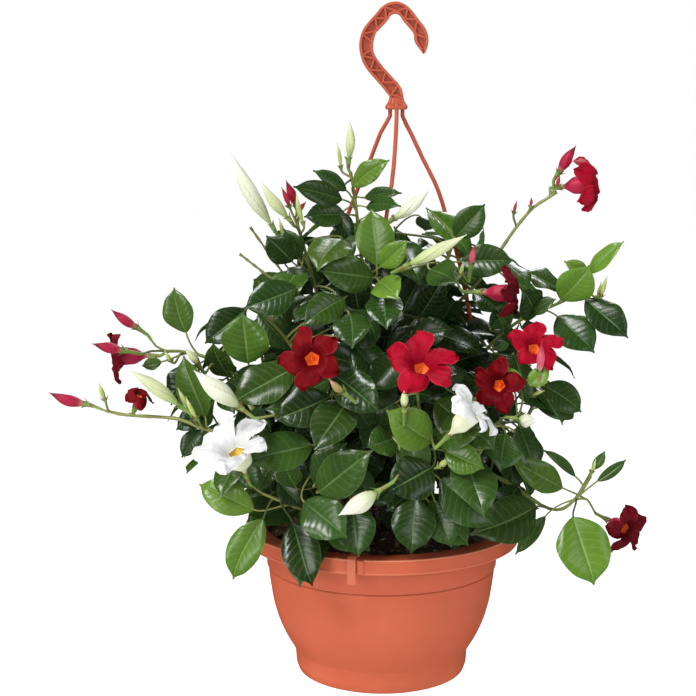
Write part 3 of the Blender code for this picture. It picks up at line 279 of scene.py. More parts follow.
# Buds: stem, colour, foot, tip and greatest radius
BUDS = {
    "bud_white_left": ("stem_white_buds", "white", (-104, -46, 448), (-142, -60, 519), 7.5),
    "bud_cream_left": ("stem_white_buds", "cream", (-88, -56, 456), (-114, -66, 492), 5.5),
    "bud_red_tuft": ("stem_white_buds", "red", (-82, -34, 466), (-92, -36, 492), 4.5),
    "bud_cream_top": ("stem_crown", "cream", (-33, -5, 508), (-32, -8, 548), 4.6),
    "bud_white_top": ("stem_top_right", "white", (6, -70, 456), (42, -74, 486), 6.0),
    "bud_cream_long": ("stem_top_right", "cream", (18, -122, 419), (72, -132, 448), 6.0),
    "bud_red_high": ("stem_flower_up", "red", (169, 0, 496), (186, -4, 524), 5.5),
    "bud_red_upper": ("stem_left_far", "red", (-232, -48, 352), (-258, -50, 371), 4.8),
    "bud_red_lower": ("stem_left_far", "red", (-240, -82, 336), (-270, -90, 344), 5.2),
    "bud_red_tip": ("stem_left_low", "red", (-278, -70, 283), (-315, -72, 295), 5.6),
    "bud_green_white": ("stem_left_low", "cream", (-186, -110, 288), (-232, -118, 324), 6.5),
    "bud_pale": ("stem_left_far", "cream", (-172, -84, 322), (-184, -92, 340), 4.0),
    "bud_white_big": ("stem_front_left", "white", (-128, -148, 294), (-170, -156, 330), 9.0),
    "bud_white_low": ("stem_front_mid", "white", (-6, -176, 226), (-42, -182, 205), 8.5),
    "bud_pointed": ("stem_front_mid", "cream", (16, -166, 296), (16, -170, 316), 3.6),
    "bud_white_round": ("stem_front_right", "white", (120, -122, 280), (139, -130, 279), 7.5),
    "bud_red_pink": ("stem_right_mid", "pink", (138, -138, 324), (146, -147, 354), 5.0),
    "bud_withered": ("stem_front_left", "withered", (-36, -166, 311), (-55, -177, 330), 5.0),
    "bud_pink_tip": ("stem_top_right", "pink", (80, -80, 414), (83, -86, 440), 3.2),
}

# Small green buds, red ones and bare twigs: what it is, foot and tip and greatest radius in millimetres
SPRIGS = {
    "stem_crown": [("lime", (-40, -8, 501), (-44, -8, 527), 2.0)],
    "stem_white_buds": [
        ("lime", (-75, -50, 450), (-82, -50, 481), 2.6), ("red", (-88, -44, 466), (-96, -44, 486), 2.6),
        ("red", (-82, -40, 460), (-73, -40, 472), 2.6), ("lime", (-95, -40, 436), (-99, -40, 457), 2.0),
        ("twig", (-95, -40, 404), (-126, -40, 448), 1.0), ("twig", (-108, -44, 401), (-136, -44, 423), 1.0),
    ],
    "stem_left_low": [
        ("lime", (-177, -104, 281), (-190, -104, 305), 2.6),
        ("lime", (-171, -110, 276), (-182, -110, 298), 2.4),
        ("lime", (-261, -76, 287), (-267, -76, 305), 2.4),
        ("lime", (-112, -120, 278), (-127, -120, 297), 3.2),
    ],
    "stem_front_mid": [
        ("lime", (10, -140, 253), (-4, -140, 273), 2.6), ("lime", (15, -142, 249), (6, -142, 268), 2.2),
        ("cream", (47, -146, 240), (58, -146, 248), 3.0),
    ],
    "stem_right_up": [
        ("lime", (208, -34, 380), (214, -34, 401), 2.4), ("lime", (205, -30, 377), (209, -30, 395), 2.0),
    ],
    "stem_right_vine": [("lime", (197, -72, 217), (201, -72, 231), 1.8)],
    "stem_flower_up": [
        ("red", (127, -2, 458), (130, -2, 471), 1.6), ("red", (143, -2, 465), (144, -2, 474), 1.6),
        ("red", (168, -2, 484), (171, -2, 495), 2.0),
    ],
    "stem_top_right": [("lime", (69, -80, 405), (73, -80, 419), 2.0)],
    "stem_right_mid": [("lime", (136, -96, 296), (148, -96, 301), 1.8)],
    "stem_left_far": [("lime", (-199, -66, 323), (-206, -66, 334), 2.0)],
}
# The material of each kind, by its place in a stem's materials
SPRIG_SLOTS = {"lime": 4, "red": 5, "cream": 4}
# How each flower is posed: where it faces, its turn in degrees, its petals' lift and slimness
POSED = {
    "bloom_red_top": ((0.93, -0.34, 0.10), 20, -0.34, 0.04),
    "bloom_red_dark": ((0.96, -0.28, 0.0), 0, -0.22, 0.08),
    "bloom_red_middle": ((0.06, -0.66, 0.75), 0, 0.04, 0.04),
    "bloom_red_left": ((-0.08, -0.97, 0.16), -26, -0.10, 0.05),
    "bloom_red_right": ((0.14, -0.74, 0.66), 10, -0.02, 0.0),
    "bloom_red_inner": ((-0.48, -0.86, 0.10), 8, -0.08, 0.04),
    "bloom_red_low": ((0.50, -0.85, -0.12), 0, -0.16, 0.10),
    "bloom_red_far": ((-0.98, -0.19, 0.02), 30, -0.02, 0.0),
    "bloom_red_curled": ((0.34, -0.40, 0.85), 54, -0.40, 0.0),
    "bloom_white_left": ((-0.28, -0.44, 0.86), 18, 0.20, 0.02),
    "bloom_white_right": ((0.68, -0.18, 0.71), 20, 0.02, 0.14),
}
# Leaves that stand a little further in, lower or straighter than the plan has them: base and tip
SETTLED = {
    ("stem_front_mid", 9): ((46, -118, 296), (88, -132, 258)),
    ("stem_flower_up", 4): ((78, 22, 430), (104, -6, 408)),
    ("stem_flower_up", 3): ((137, -18, 403), (172, -26, 385)),
    ("stem_crown", 16): ((8, -50, 436), (34, -84, 400)),
    ("stem_right_mid", 5): ((128, -66, 262), (140, -90, 222)),
    ("stem_side_right", 6): ((118, -20, 236), (126, -48, 194)),
    ("stem_side_right", 7): ((136, 24, 214), (146, -8, 176)),
    ("stem_right_vine", 8): ((128, -70, 204), (104, -96, 176)),
    ("stem_front_right", 5): ((62, -96, 196), (66, -118, 154)),
    ("stem_low_left", 1): ((-112, -116, 184), (-141, -124, 128)),
    ("stem_front_left", 12): ((-48, -119, 190), (-14, -146, 163)),
    ("stem_left_low", 5): ((-160, -60, 286), (-176, -44, 254)),
    ("stem_side_left", 6): ((-156, -1, 226), (-192, -34, 210)),
    ("stem_side_right", 5): ((134, 54, 250), (158, 66, 212)),
    ("stem_side_right", 4): ((148, 7, 282), (182, 38, 262)),
    ("stem_white_buds", 6): ((-78, -45, 410), (-104, -82, 374)),
    ("stem_top_right", 8): ((87, -30, 386), (112, -42, 366)),
    ("stem_back_right", 3): ((78, 64, 398), (112, 98, 362)),
    ("stem_front_right", 0): ((126, -74, 252), (139, -86, 200)),
    ("stem_right_vine", 9): ((98, -58, 214), (86, -84, 184)),
    ("stem_right_vine", 3): ((203, -70, 209), (231, -66, 229)),
    ("stem_right_up", 0): ((196, -30, 403), (226, -45, 436)),
    ("stem_left_far", 0): ((-186, -60, 350), (-197, -62, 393)),
    ("stem_right_vine", 10): ((118, -38, 196), (140, -28, 160)),
    ("stem_right_up", 9): ((134, -24, 350), (164, 4, 320)),
    ("stem_white_buds", 4): ((-86, -50, 416), (-110, -60, 441)),
    ("stem_right_vine", 11): ((112, -49, 244), (134, -30, 222)),
    ("stem_flower_up", 10): ((60, -7, 372), (88, 16, 344)),
    ("stem_flower_up", 16): ((100, 12, 380), (118, -12, 362)),
}
# Shown leaves that are narrower or younger than the plan has them: width, youth
RESHAPED = {
    ("stem_right_up", 0): (19, 9), ("stem_right_up", 2): (38, 9), ("stem_right_up", 1): (16, 7),
    ("stem_right_vine", 2): (10, 2), ("stem_right_vine", 1): (29, 4), ("stem_right_vine", 4): (15, 2),
    ("stem_right_vine", 5): (54, 8), ("stem_right_vine", 3): (11, 2), ("stem_front_right", 0): (15, 1),
    ("stem_left_far", 0): (30, 3), ("stem_white_buds", 4): (28, 1), ("stem_low_left", 1): (33, 6),
    ("stem_low_left", 0): (32, 6), ("stem_crown", 1): (15, 1), ("stem_crown", 2): (24, 1),
    ("stem_crown", 4): (14, 2), ("stem_crown", 5): (17, 1),
}
# Leaves that the photo shows and the plan leaves out, as in LEAVES. None is the nearest stem
ADDED = {
    "stem_left_up": [
        ((-7, -100, 371), (-41, -116, 347), 38, 1), ((-29, -104, 345), (-2, -118, 317), 32, 0),
    ],
    "stem_front_mid": [
        ((18, -108, 296), (-21, -120, 278), 30, 1), ((14, -112, 334), (-12, -122, 306), 32, 1),
        ((2, -110, 282), (-20, -122, 252), 30, 0),
    ],
    "stem_left_far": [((-212, -40, 319), (-231, -40, 315), 13, 4)],
    "stem_left_low": [
        ((-168, -75, 277), (-195, -80, 261), 22, 1), ((-170, -80, 261), (-190, -84, 235), 20, 0),
    ],
    "stem_front_left": [((-34, -112, 300), (-12, -122, 270), 30, 0)],
    None: [
        ((-137, -100, 238), (-114, -112, 211), 26, 0), ((-98, -110, 218), (-76, -118, 197), 22, 0),
        ((-90, -50, 410), (-66, -60, 386), 24, 0), ((-118, -60, 368), (-86, -72, 336), 28, 0),
        ((-12, -70, 420), (4, -80, 394), 22, 0), ((-34, -124, 236), (-10, -130, 206), 26, 0),
        ((-47, -20, 462), (-29, -26, 435), 20, 0), ((-80, -44, 418), (-94, -50, 447), 24, 0),
        ((140, -40, 366), (163, -50, 381), 18, 2), ((131, -112, 309), (150, -116, 325), 17, 9),
        ((124, -112, 305), (112, -116, 326), 13, 9),
    ],
}
# The hook's two edges, point by point, and its ribs, as across and up in millimetres
HOOK_OUTER = [
    (6.0, 571.0), (3.0, 574.6), (-0.2, 578.7), (-6.0, 585.2), (-14.1, 594.5), (-19.2, 602.4),
    (-22.0, 611.1), (-22.9, 618.9), (-22.0, 626.1), (-19.3, 633.3), (-14.2, 640.4), (-7.7, 647.5),
    (-1.9, 654.6), (3.9, 658.9), (11.2, 660.5), (17.0, 659.6), (22.8, 656.1), (28.0, 650.4), (34.6, 641.8),
    (39.7, 635.4), (42.7, 628.2), (43.1, 621.1), (41.6, 614.9), (40.4, 612.0), (39.4, 610.7),
]
HOOK_INNER = [
    (19.6, 571.4), (18.6, 575.5), (15.9, 581.0), (6.4, 591.6), (-0.2, 598.8), (-6.1, 606.7), (-9.0, 612.5),
    (-9.4, 618.2), (-8.7, 624.0), (-6.2, 631.1), (-2.5, 634.8), (2.0, 639.4), (5.3, 643.6), (7.6, 646.8),
    (11.6, 648.3), (15.6, 646.9), (18.0, 643.4), (21.5, 639.0), (26.6, 633.3), (29.2, 629.6), (29.6, 625.6),
    (30.6, 621.5), (34.6, 615.9), (37.0, 612.7), (38.4, 610.9),
]
HOOK_RIBS = [
    ((32.5, 628.2), (41.2, 625.4)), ((32.4, 641.8), (29.9, 631.1)), ((21.5, 643.2), (31.6, 642.9)),
    ((23.2, 653.2), (21.1, 644.7)), ((12.7, 650.4), (22.1, 653.9)), ((12.7, 650.4), (3.2, 653.9)),
    ((1.8, 653.2), (2.9, 644.7)), ((-7.6, 644.0), (2.5, 643.6)), ((-7.3, 642.5), (-5.4, 633.3)),
    ((-17.8, 629.7), (-7.6, 631.8)), ((-18.5, 627.9), (-10.5, 621.5)), ((-18.5, 610.0), (-10.9, 614.3)),
    ((-18.5, 608.5), (-9.0, 606.4)), ((-8.6, 605.3), (-11.5, 596.7)), ((-11.2, 595.2), (1.3, 594.9)),
    ((2.4, 593.4), (-0.2, 584.4)), ((0.9, 583.7), (13.0, 583.7)), ((14.1, 580.8), (8.7, 573.2)),
    ((8.7, 572.2), (18.2, 569.3)),
]
# The hook's head, from below: height, half width and half depth in millimetres
HOOK_HEAD = [
    (0.0, 9.4, 8.4), (0.8, 10.4, 9.4), (2.4, 10.8, 9.8), (4.0, 10.3, 9.0), (6.0, 8.8, 7.2), (9.0, 7.4, 5.4),
    (12.0, 6.8, 4.3), (14.5, 6.4, 3.8),
]
# Buds shown shorter or slimmer than their solids: shares of the length and radius
SHOWN_BUDS = {
    "bud_withered": (0.72, 0.70), "bud_red_pink": (1.0, 0.72), "bud_pink_tip": (0.8, 0.9),
    "bud_white_round": (0.92, 0.84),
}
# How far a bud's tip is shown from its solid's, in millimetres
LEANING = {"bud_red_pink": (-8, -1, 0)}
SHOWN_CLIP = 0.0080
# A flower's tube opens to this share of its limb. Its inside is in shares of the mouth and the limb, and
# the cone in the throat is a radius in metres and a share of the limb
MOUTH = 0.31
INNER_TUBE = [(0.94, -0.19), (0.86, -0.25), (0.74, -0.33), (0.60, -0.40), (0.44, -0.46), (0.22, -0.50),
              (0.0, -0.52)]
CONE = [(0.0016, -0.46), (0.0015, -0.37), (0.0010, -0.31), (0.0, -0.26)]
# Half a petal's spread in degrees at stops along it, when it is blunt and when it is pointed
PETAL_STOPS = (0.0, 0.12, 0.25, 0.4, 0.55, 0.7, 0.8, 0.88, 0.94, 0.98, 1.0)
BLUNT = (44.0, 43.5, 43.0, 42.0, 40.0, 36.0, 32.0, 27.0, 21.5, 15.0, 7.0)
POINTED = (44.0, 43.5, 42.5, 40.5, 36.5, 29.0, 22.0, 15.0, 9.0, 4.0, 1.0)
# The camera: place, tilt in degrees, and sensor and lens in millimetres
CAMERA = (-0.0451, -1.5, -0.0973)
CAMERA_TILT = 81.486
CAMERA_SENSOR = 36.0
CAMERA_LENS = 79.81
# The studio: the sky's strength fades from one height to another, over a floor below the pot
SKY_FADE = (0.20, 0.75, 1.0, 0.22)
SUN_POWER = 2.65
SUN_ANGLE = 26.0
SUN_WAY = (0.55, 0.55, -0.95)
FLOOR_RADIUS = 14.0
FLOOR_HEIGHT = -1.05
LAMP_TARGET = (0.0, 0.0, -0.38)
# Lamps: name, place, size, power and colour
LAMPS = [
    ("key_light", (-1.2, -1.7, -0.1), 1.0, 12.0, (1.0, 0.98, 0.95)),
    ("fill_light", (1.7, -1.2, 0.4), 1.2, 6.0, (0.97, 0.98, 1.0)),
    ("back_light", (0.5, 1.5, 1.2), 1.0, 26.0, (0.94, 0.97, 1.0)),
]


def spline(a, b, c, d, t):
    """A smooth curve at a share t of the way from b to c, with a before them and d after."""
    return 0.5 * (2 * b + (c - a) * t + (2 * a - 5 * b + 4 * c - d) * t ** 2
                  + (3 * b - a - 3 * c + d) * t ** 3)


def smooth_route(points, step):
    """Points about a step apart on a smooth curve through the given ones."""
    ends = [2 * points[0] - points[1]] + list(points) + [2 * points[-1] - points[-2]]
    route = []
    for a, b, c, d in zip(ends, ends[1:], ends[2:], ends[3:]):
        count = max(1, round((c - b).length / step))
        route += [spline(a, b, c, d, tick / count) for tick in range(count)]
    route.append(points[-1].copy())
    return route


def inner_wall():
    """The pot's inside, a wall's thickness in from the outside, from the floor up."""
    points = [(radius - WALL * 1000, height) for radius, height in WALL_OUTSIDE[3:] if radius != STEP_RADIUS]
    return [(83.0, WALL * 1000 + 1.0)] + points


def soil_wall():
    """The soil's underside and flank, a gap in from the pot's inside, as radius and height."""
    low = WALL + 0.001 + GAP
    wall = [(radius * 0.001 - GAP, height * 0.001) for radius, height in inner_wall()]
    wall = [(radius, height) for radius, height in wall if height < SOIL_EDGE - 0.004]
    return [(0.0, low), (wall[0][0], low)] + wall[1:]


def strand_path(route, step=0.03):
    """A strand's middle line, from its seat in the hook's head to its clip inside the rim."""
    points = [mm(*place) for place in route]
    seat = Vector((points[0].x, points[0].y, HEAD_BOTTOM + SOCKET_DEPTH - GAP))
    outward = Vector((points[-1].x, points[-1].y, 0.0)).normalized()
    foot = outward * CLIP_FOOT + Vector((0.0, 0.0, POT_HEIGHT))
    return smooth_route([seat] + points, step) + [foot]


def crown_normal(place):
    """The way a leaf at this place turns its face: out from the plant, and up."""
    away = place - FACING_MIDDLE
    outward = Vector((away.x * FACING_GAIN[0], away.y * FACING_GAIN[1], 0.0))
    if outward.length > LEAF_FACING:
        outward = outward.normalized() * LEAF_FACING
    return (outward + Vector((0.0, 0.0, LEAF_RISE))).normalized()


def make_leaf(root, base, tip, width, turn=0.0):
    """A leaf as plain values: its stalk's root, its blade's base and tip, and its face's direction."""
    along = (tip - base).normalized()
    normal = crown_normal((base + tip) / 2)
    if abs(normal.dot(along)) > 0.94:
        normal = Vector((0.0, 0.0, 1.0)) + along * 0.3
    normal = (normal - along * normal.dot(along)).normalized()
    normal = Matrix.Rotation(turn, 3, along) @ normal
    return dict(root=root, base=base, tip=tip, half=width / 2, normal=normal)


def leaf_half(leaf, s):
    """Half the blade's width at a share s of its length: an ellipse with a drawn-out tip."""
    return leaf["half"] * max(0.0, math.sin(math.pi * s ** 0.9)) ** 0.8


def leaf_frame(leaf, s):
    """The midrib's place, direction, side and face direction at a share s of the length."""
    base, tip = leaf["base"], leaf["tip"]
    bend = (base + tip) / 2 + leaf["normal"] * LEAF_ARCH * (tip - base).length
    place = base * (1 - s) ** 2 + bend * 2 * s * (1 - s) + tip * s ** 2
    along = ((bend - base) * (1 - s) + (tip - bend) * s).normalized()
    side = along.cross(leaf["normal"]).normalized()
    return place, along, side, side.cross(along).normalized()


def ring_at(place, side, face, half, lift, up, down):
    """Four points round a station: left edge, top of the midrib, right edge, underside."""
    return [place - side * half + face * lift, place + face * up, place + side * half + face * lift,
            place - face * down]


def leaf_rings(leaf, thicken=0.0):
    """The stations of a leaf from its stalk's root to its last one, and its tip."""
    base, root = leaf["base"], leaf["root"]
    place, along, side, face = leaf_frame(leaf, 0.0)
    stalk = (base - root).normalized()
    if abs(stalk.dot(side)) > 0.9:
        stalk = (stalk + along).normalized()
    stalk_side = (side - stalk * side.dot(stalk)).normalized()
    stalk_face = stalk_side.cross(stalk).normalized()
    size = LEAF_STALK + thicken
    rings = [ring_at(root, stalk_side, stalk_face, size, 0.0, size, size)]
    rings.append(ring_at(place, side, face, size, 0.0, size, size))
    for s in LEAF_STATIONS:
        place, along, side, face = leaf_frame(leaf, s)
        half = leaf_half(leaf, s) + thicken
        rings.append(ring_at(place, side, face, half, LEAF_FOLD * half, LEAF_UP + thicken,
                             LEAF_DOWN + thicken))
    return rings, leaf["tip"] + (leaf["tip"] - leaf["base"]).normalized() * thicken


def leaf_mesh(leaf, thicken=0.0):
    """The leaf's points and triangles, split alike on both of its faces."""
    rings, tip = leaf_rings(leaf, thicken)
    points = [point for ring in rings for point in ring] + [tip]
    last = len(points) - 1
    faces = [(0, 1, 2), (0, 2, 3)]
    for index in range(len(rings) - 1):
        low, high = index * 4, index * 4 + 4
        for edge, ridge in ((0, 1), (2, 1), (2, 3), (0, 3)):
            faces += [(low + edge, low + ridge, high + ridge), (low + edge, high + ridge, high + edge)]
    top = last - 4
    faces += [(top + index, top + (index + 1) % 4, last) for index in range(4)]
    return points, faces


def frames_along(route, limit):
    """Each place of a route with its direction and one across it, which turns as little as it can."""
    side = Vector((1.0, 0.0, 0.0))
    for index, place in enumerate(route):
        along = (route[min(index + 1, len(route) - 1)] - route[max(index - 1, 0)]).normalized()
        if abs(side.dot(along)) > limit:
            side = along.cross(Vector((0.0, 1.0, 0.3)))
        side = (side - along * side.dot(along)).normalized()
        yield place, along, side


def corners_of(points):
    """The low and the high corner of the box round some points."""
    return [[pick(point[axis] for point in points) for axis in range(3)] for pick in (min, max)]


class Space:
    """What is already taken, so that a new leaf can be set clear of it."""

    def __init__(self):
        self.taken = []

    def add(self, owner, kind, points, faces):
        self.taken.append((owner, kind, BVHTree.FromPolygons(points, faces), *corners_of(points)))

    def add_rod(self, owner, kind, route, radius):
        """A square bar round a route stands for a stem or strand."""
        points, faces = [], []
        for place, along, side in frames_along(route, 0.95):
            other = along.cross(side)
            points += [place + side * radius, place + other * radius, place - side * radius,
                       place - other * radius]
        for start in range(0, len(points) - 4, 4):
            for index in range(4):
                after = (index + 1) % 4
                faces.append((start + index, start + after, start + after + 4, start + index + 4))
        self.add(owner, kind, points, faces)

    def meets(self, owner, points, faces, own_leaves):
        """Whether the shape would cross anything apart from its own stem."""
        low, high = corners_of(points)
        tree = None
        for other, kind, other_tree, other_low, other_high in self.taken:
            if other == owner and (kind == "stem" or not own_leaves):
                continue
            if any(low[axis] > other_high[axis] or high[axis] < other_low[axis] for axis in range(3)):
                continue
            if tree is None:
                tree = BVHTree.FromPolygons(points, faces)
            if tree.overlap(other_tree):
                return True
        return False


def in_pot(points):
    """Whether a shape reaches into the pot or its soil."""
    return any(math.hypot(point.x, point.y) < RIM_RADIUS + POT_MARGIN
               and point.z < POT_HEIGHT + POT_MARGIN for point in points)


def nearest_on(routes, place):
    """The nearest point to a place on the stem's routes, and the direction of growth there."""
    best = None
    for route in routes:
        for a, b in zip(route, route[1:]):
            share = max(0.0, min(1.0, (place - a).dot(b - a) / (b - a).length_squared))
            spot = a.lerp(b, share)
            if best is None or (spot - place).length < (best[0] - place).length:
                best = (spot, (b - a).normalized())
    return best


def nearest_stem(stems, place):
    """The stem whose main run comes nearest to a place, and that nearest point."""
    found = {name: nearest_on(routes[:1], place)[0] for name, routes in stems.items()}
    name = min(found, key=lambda key: (found[key] - place).length)
    return name, found[name]


def turned_leaf(leaf, swing, lift, scale, turn):
    """The same leaf swung about its stem, lifted, shortened and turned."""
    blade = leaf["tip"] - leaf["base"]
    along = blade.normalized()
    side = along.cross(leaf["normal"])
    blade = Matrix.Rotation(swing, 3, leaf["normal"]) @ (Matrix.Rotation(lift, 3, side) @ blade)
    return make_leaf(leaf["root"], leaf["base"], leaf["base"] + blade * scale, leaf["half"] * 2 * scale, turn)


def tries(small):
    """The ways in which a leaf may give way, the smallest first."""
    yield 0.0, 0.0, 1.0, 0.0
    steps = (8, 16, 26, 38) if small else (12, 26, 44, 64)
    for step in steps:
        angle = math.radians(step)
        for swing, lift, turn in ((0, 1, 0), (1, 0, 0), (-1, 0, 0), (0, -1, 0), (0, 0, 1), (0, 0, -1),
                                  (1, 1, 0), (-1, 1, 0), (1, -1, 0), (-1, -1, 0), (0, 1, 1), (0, 1, -1)):
            yield swing * angle, lift * angle, 1.0 - 0.003 * step, turn * angle


def place_leaf(space, owner, leaf, shown):
    """The leaf set clear of all else, or nothing if there is no room for it.

    A leaf that shows in the photo gives way less, and may cross its own stem's leaves if it must.
    """
    fallback = None
    for swing, lift, scale, turn in tries(shown):
        trial = turned_leaf(leaf, swing, lift, scale, turn)
        points, faces = leaf_mesh(trial, LEAF_CLEARANCE)
        if in_pot(points):
            continue
        if not space.meets(owner, points, faces, True):
            return trial
        if shown and fallback is None and not space.meets(owner, points, faces, False):
            fallback = trial
    return fallback


def stem_route(route, step=STEM_STEP):
    """A stem's middle line, from the foot of its hole in the soil."""
    x, y = mm(*route[0])
    low = Vector((x, y, SOIL_CROWN - HOLE_DEPTH + GAP))
    collar = Vector((x, y, SOIL_CROWN + 0.002))
    return smooth_route([low, collar] + [mm(*place) for place in route[1:]], step)


def twig_route(root, growth, end, along, step=TWIG_STEP):
    """A side twig that leaves its stem in the way it grows and ends in the flower's direction."""
    reach = (end - root).length
    first = root + (growth * 0.35 + (end - root).normalized() * 0.65) * reach * 0.35
    last = end - along * min(0.3 * reach, 0.014)
    neck = end - along * 0.0045
    return smooth_route([root, first, last, neck, end], step)


def bloom_axes(facing):
    """A flower's direction and the two directions across it."""
    facing = Vector(facing).normalized()
    across = facing.cross(Vector((0.0, 0.0, 1.0)))
    if across.length < 0.1:
        across = facing.cross(Vector((1.0, 0.0, 0.0)))
    across.normalize()
    return facing, across, across.cross(facing).normalized()


def bloom_tube_length(limb):
    return TUBE_LENGTH * min(1.0, limb / 0.028)


def skin_faces(rows, sides):
    """Triangles between rings of points, with a face on the first and a last point beyond the others."""
    faces = [tuple(range(sides))]
    for ring in range(rows - 1):
        for index in range(sides):
            a, b = ring * sides + index, ring * sides + (index + 1) % sides
            faces += [(a, b, b + sides), (a, b + sides, a + sides)]
    start = (rows - 1) * sides
    faces += [(start + index, start + (index + 1) % sides, rows * sides) for index in range(sides)]
    return faces


def bloom_mesh(throat, facing, limb):
    """A funnel and five skew petals with an outer and an inner face that meet at the edge."""
    facing, across, up = bloom_axes(facing)
    tube_length = bloom_tube_length(limb)
    lobes = (0.66, 1.0, 0.97)
    sides = 15
    mouth = limb * 0.24
    rings = [
        (0.0016, -tube_length, 0.0), (0.0030, -tube_length * 0.55, 0.0), (mouth, -0.004, 0.0),
        (limb * 0.62, limb * 0.05, 0.25), (limb, limb * 0.02, 1.0),
        (limb * 0.60, limb * 0.05 + 0.0011, 0.25), (mouth - 0.001, -0.0025, 0.0),
    ]
    points = []
    for radius, height, lobed in rings:
        for index in range(sides):
            angle = math.tau * index / sides
            reach = radius * (1 - lobed + lobed * lobes[index % 3])
            sway = limb * 0.05 * lobed * (1 if index % 3 == 1 else -0.4)
            points.append(throat + facing * (height + sway)
                          + (across * math.cos(angle) + up * math.sin(angle)) * reach)
    points.append(throat - facing * tube_length * 0.5)
    return points, skin_faces(len(rings), sides)


def bud_mesh(base, tip, radius):
    """A spindle, fullest below its middle and drawn out to a point."""
    along, across, up = bloom_axes(tip - base)
    reach = (tip - base).length
    sides = 6
    rings = ((0.0, 0.0), (0.22, 0.72), (0.45, 1.0), (0.75, 0.62))
    points = []
    for share, size in rings:
        for index in range(sides):
            angle = math.tau * (index + share * 1.5) / sides
            width = max(0.0018, radius * size)
            points.append(base + along * reach * share
                          + (across * math.cos(angle) + up * math.sin(angle)) * width)
    points.append(tip.copy())
    return points, skin_faces(len(rings), sides)


def nudged(place, rng):
    """The place moved by under half a millimetre, so that no two stalks start at the same point."""
    return place + Vector([rng.uniform(-ROOT_NUDGE, ROOT_NUDGE) for axis in range(3)])


def fill_pairs(route, rng):
    """Pairs of leaves by rule along a stem, each pair a quarter turn from the last."""
    gone = 0.0
    turn = rng.uniform(0.0, math.pi)
    for a, b in zip(route, route[1:]):
        gone += (b - a).length
        if gone < PAIR_STEP or a.z < POT_HEIGHT + 0.010:
            continue
        gone = 0.0
        growth = (b - a).normalized()
        across = growth.cross(Vector((0.3, -0.2, 0.9))).normalized()
        turn += math.pi / 2 + rng.uniform(-0.3, 0.3)
        for half in (0.0, math.pi):
            side = Matrix.Rotation(turn + half, 3, growth) @ across
            outward = Vector((a.x, a.y, 0.0)).normalized()
            heading = (side + growth * 0.35 + outward * 0.25).normalized()
            length = FILL_LENGTH * rng.uniform(0.82, 1.12)
            base = a + heading * 0.012
            tip = base + (heading - Vector((0.0, 0.0, 0.22))).normalized() * length
            yield make_leaf(nudged(a, rng), base, tip, length * FILL_SHAPE)


def golden_ways(count, top, span, start=0.0):
    """Directions spread evenly over a band of a sphere, each a golden angle from the last."""
    for index in range(count):
        height = top - span * (index + 0.5) / count
        angle = index * math.pi * (3 - math.sqrt(5)) + start
        level = math.sqrt(1 - height ** 2)
        yield Vector((math.cos(angle) * level, math.sin(angle) * level, height))


def crown_place(way, depth):
    """The place in the crown at a direction from its middle and a share of its reach."""
    return CROWN_CENTRE + Vector(a * b for a, b in zip(way, CROWN_REACH)) * depth


def crown_depth(place):
    """How far out in the crown a place is, as a share of the crown's reach."""
    return Vector(a / b for a, b in zip(place - CROWN_CENTRE, CROWN_REACH)).length


def cover_leaves(stems, rng):
    """Leaves spread evenly over the crown, each held by its nearest stem."""
    for way in golden_ways(COVER_COUNT, COVER_TOP, COVER_SPAN):
        base = crown_place(way, COVER_DEPTH)
        length = FILL_LENGTH * rng.uniform(0.9, 1.15)
        aside = Vector((-way.y, way.x, 0.0)) * rng.uniform(-0.8, 0.8)
        heading = (way * 0.6 + aside + Vector((0.0, 0.0, -0.45 - way.z * 0.3))).normalized()
        name, root = nearest_stem(stems, base)
        if (root - base).length > STALK_LIMIT:
            continue
        tip = base + heading * length
        yield name, make_leaf(nudged(root, rng), base, tip, length * FILL_SHAPE)


# From here on: the finished pieces. Lengths are in metres, and sides and steps are counts
ORIGIN = Vector((-BEARING[0], 0.0, -BEARING[1]))
SHARP_ANGLE = math.radians(48)
FINE_STEP = 0.007
# How finely a leaf that shows in the photo and any other leaf are drawn: rows and columns
NEAR_GRID = (42, 15)
FAR_GRID = (22, 9)
BLADE_THICK = 0.0004
# The side veins of half a blade: how many, how far they lean to the tip, and how they bend there
VEINS = 9.0
VEIN_LEAN = 0.17
VEIN_BOW = 1.2
PETAL_THICK = 0.0004
LEAST_RADIUS = 0.00002
PETALS = 5
PETAL_GRID = (34, 19)
SEPAL_GRID = (7, 5)
SEPAL_LENGTH = 0.0075
BUD_GRID = (34, 50)
SPRIG_GRID = (16, 20)
TUBE_STEPS = 26
BLOOM_SIDES = 40
CONE_SIDES = 10
STEM_SIDES = 10
STALK_SIDES = 6
STALK_RADII = (0.0015, 0.0011, 0.0010, 0.0009, 0.0009, 0.0009, 0.0009, 0.0008)
OLD_TWIG_RADII = (0.0011, 0.0010, 0.0015, 0.0010, 0.0015, 0.0009, 0.0014, 0.0010, 0.0016)
TWIG_SIDES = 8
TWIG_STEPS = 8
STRAND_SIDES = 16
STRAND_STEP = 0.012
POT_SIDES = 160
# Where the pot's plastic is painted pale as a highlight, at its top edge and its band's lower edge, and
# painted dark as shade in the groove at the step
TOP_EDGE = 0.1497
BAND_EDGE = 0.1370
GROOVE = 0.1100
EDGE_WIDTH = 0.0006
GROOVE_WIDTH = 0.0007
SOIL_SIDES = 120
SOIL_RINGS = 46
HEAD_SIDES = 72
HOOK_CORNER = 0.00055
# The bits that lie on the mix: how far out they go, how many there are, and how many of them are chips
SOIL_REACH = 0.1125
CRUMBS = 1500
CHIPS = 330
# Leaves inside the crown: how many are tried, in which band of directions, and how far out they may go
EXTRA_COUNT = 1400
EXTRA_TOP = 0.95
EXTRA_SPAN = 1.45
EXTRA_REACH = 0.92
EXTRA_SEED = 5
CRUMB_SEED = 8
LUCK_SEED = 3


